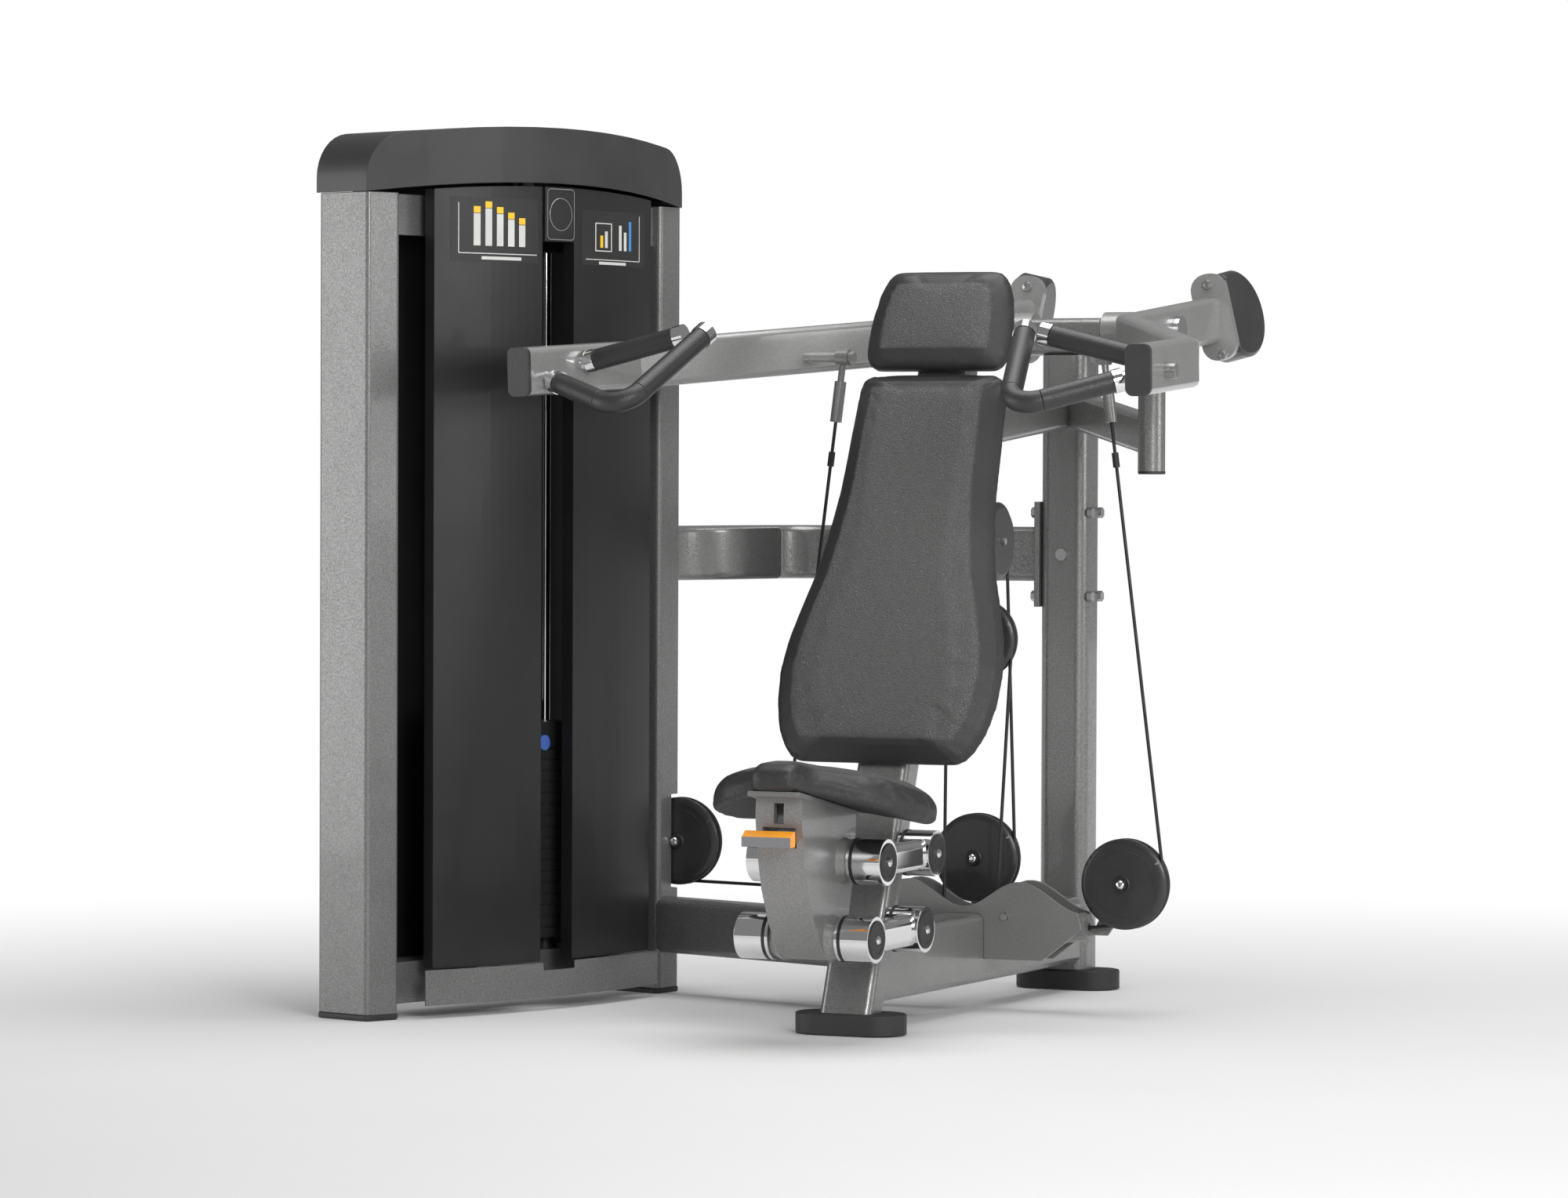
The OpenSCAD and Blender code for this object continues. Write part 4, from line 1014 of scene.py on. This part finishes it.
@dataclass
class Tower:
    """The weight tower: two columns, cap, panels and their marks.

    Attributes:
        middle: Its middle on the floor.
        turn: Its turn about Z, in radians.
        badge_out: How far the badge's face lies in front of the middle.
        badge_z: Height of the badge's middle.
        badge_line: Width and height of the line round the badge.
        placards: Plates on the panels.
    """

    middle: Tuple[float, float] = (-0.722, -0.783)
    turn: float = math.radians(16.0)
    badge_out: float = 0.0762
    badge_z: float = 1.404
    badge_line: Tuple[float, float] = (0.070, 0.090)
    placards: List[Placard] = field(default_factory=list)

    @property
    def across(self) -> Vector:
        """Direction along the tower's width, away from the viewer."""
        return Vector((math.sin(self.turn), math.cos(self.turn), 0.0))

    @property
    def front(self) -> Vector:
        """Direction out of the tower's front."""
        return Vector((math.cos(self.turn), -math.sin(self.turn), 0.0))

    @property
    def upright(self) -> Matrix:
        """Turns a flat piece to stand on the tower's front."""
        return Matrix((self.across, Vector(UP), self.front)).transposed().to_4x4()

    def point(self, across: float, back: float, z: float) -> Vector:
        """A point in tower terms: along its width, behind its middle, and up."""
        return Vector((*self.middle, z)) + across * self.across - back * self.front

    def build(self) -> None:
        """Paints and refines the tower."""
        soften("near_column", SILVER, BROAD_EDGE)
        soften("far_column", SILVER, BROAD_EDGE)
        soften("tower_cap", CHARCOAL, width=0.006, segments=4)
        soften("kick_plate", SILVER, FINE_EDGE)
        carry(SILVER, "tower_crossbars")
        carry(BLACK_SHEET, "back_panel")
        carry(PANEL, "near_panel", "far_panel")
        soften("badge_plate", BADGE, width=0.0008)
        carry(CHROME, "guide_rods")
        carry(MOULDING, "rod_mounts")
        for placard in self.placards:
            placard.build(self)
        self.badge()

    def badge(self) -> None:
        """A plain ring and a border line on the badge."""
        middle = self.point(0.0, -self.badge_out, self.badge_z)
        BADGE_RING.put(middle, self.front, "frame")
        line = border("badge_border", *self.badge_line, corner=0.008, line=0.0012)
        line.matrix_world = Matrix.Translation(middle) @ self.upright
        bpy.context.view_layer.update()
        finish_piece(line, "badge_border", BADGE_RIM, "frame")


NEAR_PLACARD = Placard("near_placard", "near_panel", (-0.150, 1.372), (0.196, 0.112), [
    (-0.42, 0.02, 0.008, 0.78, PALE), (0.03, -0.37, 0.90, 0.014, PALE), (0.06, -0.44, 0.46, 0.05, PALE),
    (-0.22, 0.00, 0.075, 0.50, PALE), (-0.22, 0.31, 0.075, 0.10, YELLOW),
    (-0.09, 0.04, 0.075, 0.58, PALE), (-0.09, 0.39, 0.075, 0.10, YELLOW),
    (0.04, 0.00, 0.075, 0.50, PALE), (0.04, 0.31, 0.075, 0.10, YELLOW),
    (0.17, -0.04, 0.075, 0.42, PALE), (0.17, 0.23, 0.075, 0.10, YELLOW),
    (0.30, -0.08, 0.075, 0.34, PALE), (0.30, 0.15, 0.075, 0.10, YELLOW)])
FAR_PLACARD = Placard("far_placard", "far_panel", (0.160, 1.366), (0.196, 0.098), [
    (0.40, 0.02, 0.008, 0.84, PALE), (-0.02, -0.39, 0.85, 0.014, PALE), (-0.04, -0.45, 0.42, 0.05, PALE),
    (-0.30, 0.02, 0.012, 0.50, PALE), (-0.06, 0.02, 0.012, 0.50, PALE),
    (-0.18, 0.27, 0.25, 0.018, PALE), (-0.18, -0.23, 0.25, 0.018, PALE),
    (-0.21, -0.06, 0.04, 0.22, YELLOW), (-0.14, -0.02, 0.04, 0.30, PALE),
    (0.08, 0.02, 0.04, 0.46, PALE), (0.16, -0.04, 0.04, 0.34, PALE), (0.24, 0.06, 0.04, 0.54, SKY)])


@dataclass
class WeightStack:
    """The plates, the lifting head and the selector pin."""

    def build(self) -> None:
        """Paints the stack."""
        soften("stack_plates", IRON, FINE_EDGE)
        soften("stack_head", IRON, SHEET_EDGE)
        carry(BLUE, "selector_pin")


@dataclass
class SeatFrame:
    """Beams, posts, feet and the fixed brackets.

    Attributes:
        stop_end: Lower end of the stop's post.
    """

    stop_end: Point = (0.329, -0.440, 0.9552)

    def build(self) -> None:
        """Paints and refines the frame."""
        for node in ("upper_beam", "lower_beam", "rear_post", "front_post", "base_tube", "pivot_head",
                     "stop_arms"):
            soften(node, FRAME, TUBE_EDGE)
        soften("cable_plates", CASTING, SHEET_EDGE)
        soften("pulley_brackets", CASTING, FINE_EDGE)
        soften("rubber_feet", RUBBER, RUBBER_EDGE, segments=3)
        soften("stop_buffers", RUBBER, BROAD_EDGE)
        carry(ZINC, "frame_bolts", "pivot_pins")
        carry(CHROME, "pivot_shaft")
        carry(BLACK_SHEET, "pad_boards")
        POST_CAP.put(self.stop_end, (0.0, 0.0, -1.0), "frame")


@dataclass
class PressArm:
    """One press arm with its handle, grips, counterweight and cable end.

    Attributes:
        side: Which arm it is.
        bolts: Places near the two bolts of the rear plate, on the right arm.
        stud: A place near the stud outside the handle, on the right arm.
    """

    side: Side
    bolts: Sequence[Point] = ((0.181, 0.226, 1.303), (0.214, 0.226, 1.172))
    stud: Point = (0.600, -1.012, 1.121)

    def build(self) -> None:
        """Paints and refines the arm."""
        name = self.side.label
        arm = soften(f"{name}_arm", LIT_ARM_PAINT, TUBE_EDGE)
        soften(f"{name}_handle", CHROME, SHEET_EDGE)
        soften(f"{name}_grips", GRIP, RUBBER_EDGE, segments=3)
        soften(f"{name}_counterweight", WEIGHT, width=0.005, segments=3)
        soften(f"{name}_rod_end", CASTING, width=0.001)
        for near in self.bolts:
            PLATE_BOLT.put(*touch(arm, self.side.place(near)), f"{name}_arm")
        ARM_STUD.put(*touch(arm, self.side.place(self.stud)), f"{name}_arm")


@dataclass
class CableDrive:
    """Pulleys and the two cables from the arms to the stack, laid where they rest.

    Attributes:
        cord: Radius of the cables.
        plane: Depth of the arm cable's plane.
        wheels: Pulley nodes.
        swivel: Middle of the right swivel pulley.
        turn: Middle of the right turn pulley.
        floating: Middle of the floating pulley.
        top: Middle of the top wheel.
        mid: Middle of the pulley under the pads.
        tower: Middle of the pulley at the tower.
        large: Cable's radius on the swivel, middle and tower pulleys.
        medium: Cable's radius on the floating pulley and the top wheel.
        small: Cable's radius on the turn pulleys.
        cap: Cable's radius on the pulleys in the cap.
        meets: Angle where the arm cable meets the swivel pulley, in degrees.
        passes: Angle where it passes from the swivel to the turn pulley.
        leaves: Angle where it leaves the turn pulley.
        run_low: Lower end of the arm cable's outer run, on the right.
        run_held: Where that run comes out of its clamp.
        run_top: Its upper end, in the sleeve.
        loop_z: Height at which the inner runs begin to follow the floating block.
        block_z: Height of the floating block's top.
        riser: Top of the run up the tower.
        drop: Top of the run down to the stack.
        stack_z: Height of the stack's head.
        ring_out: How far a pulley's ring lies in front of its middle.
        hub_out: The same for its hub.
        bolt_out: The same for its bolt.
    """

    cord: float = 0.003
    plane: float = -0.470
    wheels: Sequence[str] = ("left_swivel_pulley", "right_swivel_pulley", "left_turn_pulley",
                             "right_turn_pulley", "mid_pulley", "top_wheel", "tower_pulley",
                             "cap_pulley_side", "cap_pulley_mid", "floating_pulley")
    swivel: Point = (0.296, plane, 0.231)
    turn: Point = (0.080, plane, 0.168)
    floating: Point = (0.016, plane, 0.657)
    top: Point = (0.016, -0.408, 0.829)
    mid: Point = (-0.037, -0.346, 0.260)
    tower: Point = (-0.6049, -0.3963, 0.276)
    large: float = 0.072
    medium: float = 0.062
    small: float = 0.030
    cap: float = 0.025
    meets: float = 7.27
    passes: float = -84.5
    leaves: float = -181.0
    run_low: Point = (0.3674, plane, 0.2401)
    run_held: Point = (0.2716, plane, 0.9874)
    run_top: Point = (0.2647, plane, 1.0409)
    loop_z: float = 0.17
    block_z: float = 0.753
    riser: Point = (-0.6769, -0.3963, 1.478)
    drop: Point = (-0.7701, -0.7692, 1.478)
    stack_z: float = 0.538
    ring_out: float = 0.0170
    hub_out: float = 0.0168
    bolt_out: float = 0.0272

    def build(self) -> None:
        """Paints the pulleys and lays the cables."""
        for node in self.wheels:
            soften(node, NYLON, FINE_EDGE)
        soften("floating_block", CASTING, FINE_EDGE)
        carry(MOULDING, "cable_clamps")
        ahead = (0.0, -1.0, 0.0)
        for node, (x, y, z) in (("left_swivel_pulley", Side.LEFT.place(self.swivel)),
                                ("right_swivel_pulley", Side.RIGHT.place(self.swivel)),
                                ("mid_pulley", self.mid), ("tower_pulley", self.tower)):
            WHEEL_RING.put((x, y - self.ring_out, z), ahead, node)
            WHEEL_HUB.put((x, y - self.hub_out, z), ahead, "frame")
            BUTTON.put((x, y - self.bolt_out, z), ahead, "frame")
        for side in Side:
            self.arm_side(side)
        self.over_block()
        self.stack_side()

    def arc(self, middle: Point, radius: float, first: Point, second: Point, start: float,
            end: float) -> List[Vector]:
        """Points on a wheel's groove.

        Args:
            middle: Wheel centre.
            radius: Groove radius at the cord's middle.
            first: Direction at 0 degrees.
            second: Direction at 90 degrees.
            start: First angle in degrees.
            end: Last angle in degrees.

        Returns:
            Twenty-five points along the groove.
        """
        angles = [math.radians(start + (end - start) * i / 24) for i in range(25)]
        centre, one, two = Vector(middle), Vector(first), Vector(second)
        return [centre + radius * (math.cos(a) * one + math.sin(a) * two) for a in angles]

    def line(self, start: Point, end: Point) -> List[Vector]:
        """Points along a straight run."""
        return [Vector(start).lerp(Vector(end), i / 32) for i in range(33)]

    def lay(self, name: str, points: Sequence[Vector], node: str) -> None:
        """Lays a piece of cable that stays where it is.

        Args:
            name: Piece name.
            points: Its route.
            node: CAD cable it stands for.
        """
        made = finish_piece(tube(name, points, self.cord), name, CABLE, "frame")
        smooth(made)
        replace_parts(made, node)

    def stretch(self, name: str, points: Sequence[Vector], node: str, body: str) -> None:
        """Lays a piece of cable whose far end meets a moving body; the piece stays where it is.

        Args:
            name: Piece name.
            points: Its route at rest.
            node: CAD cable it stands for.
            body: Body at its far end; only the log names it.
        """
        made = tube(name, points, self.cord)
        smooth(made)
        made.data.materials.append(CABLE.material())
        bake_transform(made)
        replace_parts(made, node)
        log.info("piece %s between frame and %s", name, body)

    def arm_side(self, side: Side) -> None:
        """The arm cable on one side, from its sleeve down and in to the turn pulley.

        Args:
            side: Which side.
        """
        low, held, top = (side.place(point) for point in (self.run_low, self.run_held, self.run_top))
        name = side.label
        self.stretch(f"{name}_arm_run", self.line(low, top), "arm_cable", "cable_clamps")
        out = (side.value, 0.0, 0.0)
        wrap = self.arc(side.place(self.swivel), self.large, out, UP, self.meets, self.passes)
        turn = self.arc(side.place(self.turn), self.small, out, UP, self.passes, self.leaves)
        self.lay(f"{name}_arm_wrap", [*wrap, *turn], "arm_cable")

    def over_block(self) -> None:
        """The arm cable's inner runs and their loop over the floating pulley."""
        loop = self.arc(self.floating, self.medium, (1.0, 0.0, 0.0), UP, 0.0, 180.0)
        x, y, z = self.turn
        right = self.line((x - self.small, y, z), loop[0])
        left = self.line(loop[-1], (self.small - x, y, z))
        self.stretch("block_loop", [*right, *loop, *left], "arm_cable", "floating_block")

    def stack_side(self) -> None:
        """The stack cable: block, top wheel, base, tower, cap and down to the stack."""
        block, front = ((self.top[0], self.plane, z) for z in (self.block_z, self.top[2]))
        self.stretch("block_pull", self.line(block, front), "stack_cable", "floating_block")
        ahead, right, left, down = (0.0, -1.0, 0.0), (1.0, 0.0, 0.0), (-1.0, 0.0, 0.0), (0.0, 0.0, -1.0)
        over = self.arc(self.top, self.medium, ahead, UP, 0.0, 180.0)
        under = self.arc(self.mid, self.large, right, down, 0.0, 90.0)
        tower = self.arc(self.tower, self.large, down, left, 0.0, 90.0)
        riser, drop = Vector(self.riser), Vector(self.drop)
        along = (riser - drop).normalized()
        side = self.arc(riser - self.cap * along, self.cap, along, UP, 0.0, 90.0)
        middle = self.arc(drop + self.cap * along, self.cap, UP, -along, 0.0, 90.0)
        self.lay("stack_run", [*over, *under, *tower, *side, *middle], "stack_cable")
        low = (drop.x, drop.y, self.stack_z)
        self.stretch("stack_drop", self.line(drop, low), "stack_cable", "stack")


@dataclass
class SeatUnit:
    """The pads, and the seat's carriage, chrome links and release lever.

    Attributes:
        recline: Lean of the back and head pads, in radians.
        tilt: Fall of the seat pad towards its back, in radians.
        lower_ends: Y and Z of the lower links' pins.
        upper_ends: Y and Z of the upper links' pins.
        disc_x: How far out a link's disc lies.
        button_x: The same for its bolt.
        ring_x: The same for its inner ring.
    """

    recline: float = math.radians(20.5)
    tilt: float = math.radians(10.0)
    lower_ends: Sequence[Tuple[float, float]] = ((-0.9539, 0.1784), (-1.1619, 0.1754))
    upper_ends: Sequence[Tuple[float, float]] = ((-0.9066, 0.3048), (-1.1146, 0.3018))
    disc_x: float = 0.1219
    button_x: float = 0.1236
    ring_x: float = 0.0660

    def build(self) -> None:
        """Builds the pads and refines the carriage."""
        sine, cosine = math.sin(self.recline), math.cos(self.recline)
        out, up = Vector((0.0, -cosine, sine)), Vector((0.0, sine, cosine))
        Cushion("back_pad", out, up, widest=0.016, seam=0.036, lift=0.034).build()
        Cushion("head_pad", out, up, widest=0.020, seam=0.034, lift=0.036).build()
        sine, cosine = math.sin(self.tilt), math.cos(self.tilt)
        out, back = Vector((0.0, sine, cosine)), Vector((0.0, cosine, -sine))
        Cushion("seat_pad", out, back, widest=0.020, seam=0.022, lift=0.040, droop=0.0196).build()
        soften("seat_carriage", CASTING, width=0.004, segments=3)
        soften("upper_links", CHROME, FINE_EDGE)
        soften("lower_links", CHROME, FINE_EDGE)
        soften("release_lever", LEVER, BROAD_EDGE)
        for body, ends in (("seat_lower_links", self.lower_ends), ("seat_upper_links", self.upper_ends)):
            for y, z in ends:
                for side in Side:
                    outward = (side.value, 0.0, 0.0)
                    LINK_DISC.put(side.place((self.disc_x, y, z)), outward, body)
                    BUTTON.put(side.place((self.button_x, y, z)), outward, body)
                    LINK_RING.put(side.place((self.ring_x, y, z)), outward, body)


@dataclass
class Studio:
    """Camera, floor and light.

    Attributes:
        place: Where the camera stands.
        yaw: Its turn to the left, in radians.
        pitch: Its turn downwards.
        roll: Its turn about its own view.
        lens: Its focal length, in millimetres.
        pool: Middle of the part of the floor that takes shadows.
        fade: Distances from there between which the floor turns white.
        ambient: Strength of the world's light.
        lamps: Each lamp's name, place, target, size and power.
    """

    place: Point = (4.0276, -10.092, 0.960)
    yaw: float = 0.42828
    pitch: float = 0.02244
    roll: float = 0.00397
    lens: float = 135.0
    pool: Point = (0.5, -2.0, 0.0)
    fade: Tuple[float, float] = (1.4, 4.6)
    ambient: float = 0.24
    lamps: Sequence[Tuple[str, Point, Point, float, float]] = (
        ("overhead", (0.2, -0.6, 3.6), (0.0, -0.5, 0.6), 2.6, 85.0),
        ("front_right", (3.4, -5.0, 2.4), (0.0, -0.5, 0.7), 1.8, 150.0),
        ("left_side", (-4.4, -3.2, 1.2), (-0.7, -0.8, 0.6), 2.4, 60.0),
        ("right_side", (4.2, -0.4, 1.6), (0.2, -0.5, 0.9), 1.6, 32.0))

    def camera(self) -> None:
        """Sets the camera at the photograph's place."""
        right = Vector((math.cos(self.yaw), math.sin(self.yaw), 0.0))
        level = Vector((-math.sin(self.yaw), math.cos(self.yaw), 0.0))
        ahead = level * math.cos(self.pitch) - Vector((0.0, 0.0, math.sin(self.pitch)))
        up = right.cross(ahead)
        turned = right * math.cos(self.roll) + up * math.sin(self.roll)
        risen = up * math.cos(self.roll) - right * math.sin(self.roll)
        data = bpy.data.cameras.new("photo_camera")
        data.lens = self.lens
        data.sensor_width = 36.0
        data.sensor_fit = "HORIZONTAL"
        data.clip_end = 60.0
        eye = bpy.data.objects.new("photo_camera", data)
        bpy.context.scene.collection.objects.link(eye)
        turn = Matrix((turned, risen, -ahead)).transposed().to_4x4()
        eye.matrix_world = Matrix.Translation(self.place) @ turn
        bpy.context.scene.camera = eye

    def lamp(self, name: str, at: Point, target: Point, size: float, power: float) -> None:
        """Hangs one square soft light.

        Args:
            name: Lamp name.
            at: Its place.
            target: Point that it shines at.
            size: Width of the square.
            power: Its power, in watts.
        """
        data = bpy.data.lights.new(name, "AREA")
        data.shape = "SQUARE"
        data.size = size
        data.energy = power
        lamp = bpy.data.objects.new(name, data)
        bpy.context.scene.collection.objects.link(lamp)
        away = Vector(at) - Vector(target)
        lamp.matrix_world = Matrix.Translation(at) @ away.to_track_quat("Z", "Y").to_matrix().to_4x4()

    def sky(self) -> None:
        """White behind the object, softer grey as light."""
        world = bpy.data.worlds.new("studio")
        bpy.context.scene.world = world
        world.use_nodes = True
        tree = world.node_tree
        ground = tree.nodes["Background"]
        path = Sock(tree, tree.nodes.new("ShaderNodeLightPath").outputs["Is Camera Ray"])
        strength = path.node("ShaderNodeMix", {"data_type": "FLOAT"}, {0: path, 2: self.ambient, 3: 1.0})
        ground.inputs["Color"].default_value = (1.0, 1.0, 1.0, 1.0)
        tree.links.new(strength.socket, ground.inputs["Strength"])

    def floor(self) -> None:
        """A pale floor that fades into the white."""
        bpy.ops.object.select_all(action="DESELECT")
        bpy.ops.mesh.primitive_plane_add(size=40.0, location=(0.0, 0.0, -0.0005))
        plane = bpy.context.view_layer.objects.active
        plane.name = "floor"
        made = bpy.data.materials.new("floor_white")
        made.use_nodes = True
        tree = made.node_tree
        shader = tree.nodes["Principled BSDF"]
        shader.inputs["Roughness"].default_value = 0.6
        place = Sock(tree, tree.nodes.new("ShaderNodeTexCoord").outputs["Object"])
        cloud = place.noise(3.0)
        pale = cloud.mix((0.86, 0.86, 0.86), (0.88, 0.88, 0.88))
        tree.links.new(pale.socket, shader.inputs["Base Color"])
        measure = {"operation": "DISTANCE"}
        away = place.node("ShaderNodeVectorMath", measure, {0: place, 1: self.pool}, "Value")
        glow = away.node("ShaderNodeEmission", {}, {"Strength": 1.0})
        body = Sock(tree, shader.outputs["BSDF"])
        faded = away.node("ShaderNodeMixShader", {}, {0: away.ramp(*self.fade), 1: body, 2: glow})
        tree.links.new(faded.socket, tree.nodes["Material Output"].inputs["Surface"])
        plane.data.materials.append(made)

    def build(self) -> None:
        """Sets up the studio."""
        bpy.context.scene.view_settings.view_transform = "Standard"
        self.camera()
        self.sky()
        self.floor()
        for lamp in self.lamps:
            self.lamp(*lamp)


@dataclass
class ShoulderPress:
    """The whole machine."""

    tower: Tower
    stack: WeightStack = field(default_factory=WeightStack)
    frame: SeatFrame = field(default_factory=SeatFrame)
    arms: Sequence[PressArm] = (PressArm(Side.LEFT), PressArm(Side.RIGHT))
    drive: CableDrive = field(default_factory=CableDrive)
    seat: SeatUnit = field(default_factory=SeatUnit)
    studio: Studio = field(default_factory=Studio)

    def build(self) -> None:
        """Builds every sub-assembly, then the studio."""
        for part in (self.tower, self.stack, self.frame, *self.arms, self.drive, self.seat, self.studio):
            part.build()
            log.info("built %s", type(part).__name__)
        for stamp in STAMPS:
            stamp.clear()


def main() -> None:
    """Builds the scene."""
    logging.basicConfig(level=logging.INFO)
    ShoulderPress(Tower(placards=[NEAR_PLACARD, FAR_PLACARD])).build()


if __name__ == "__main__":
    main()
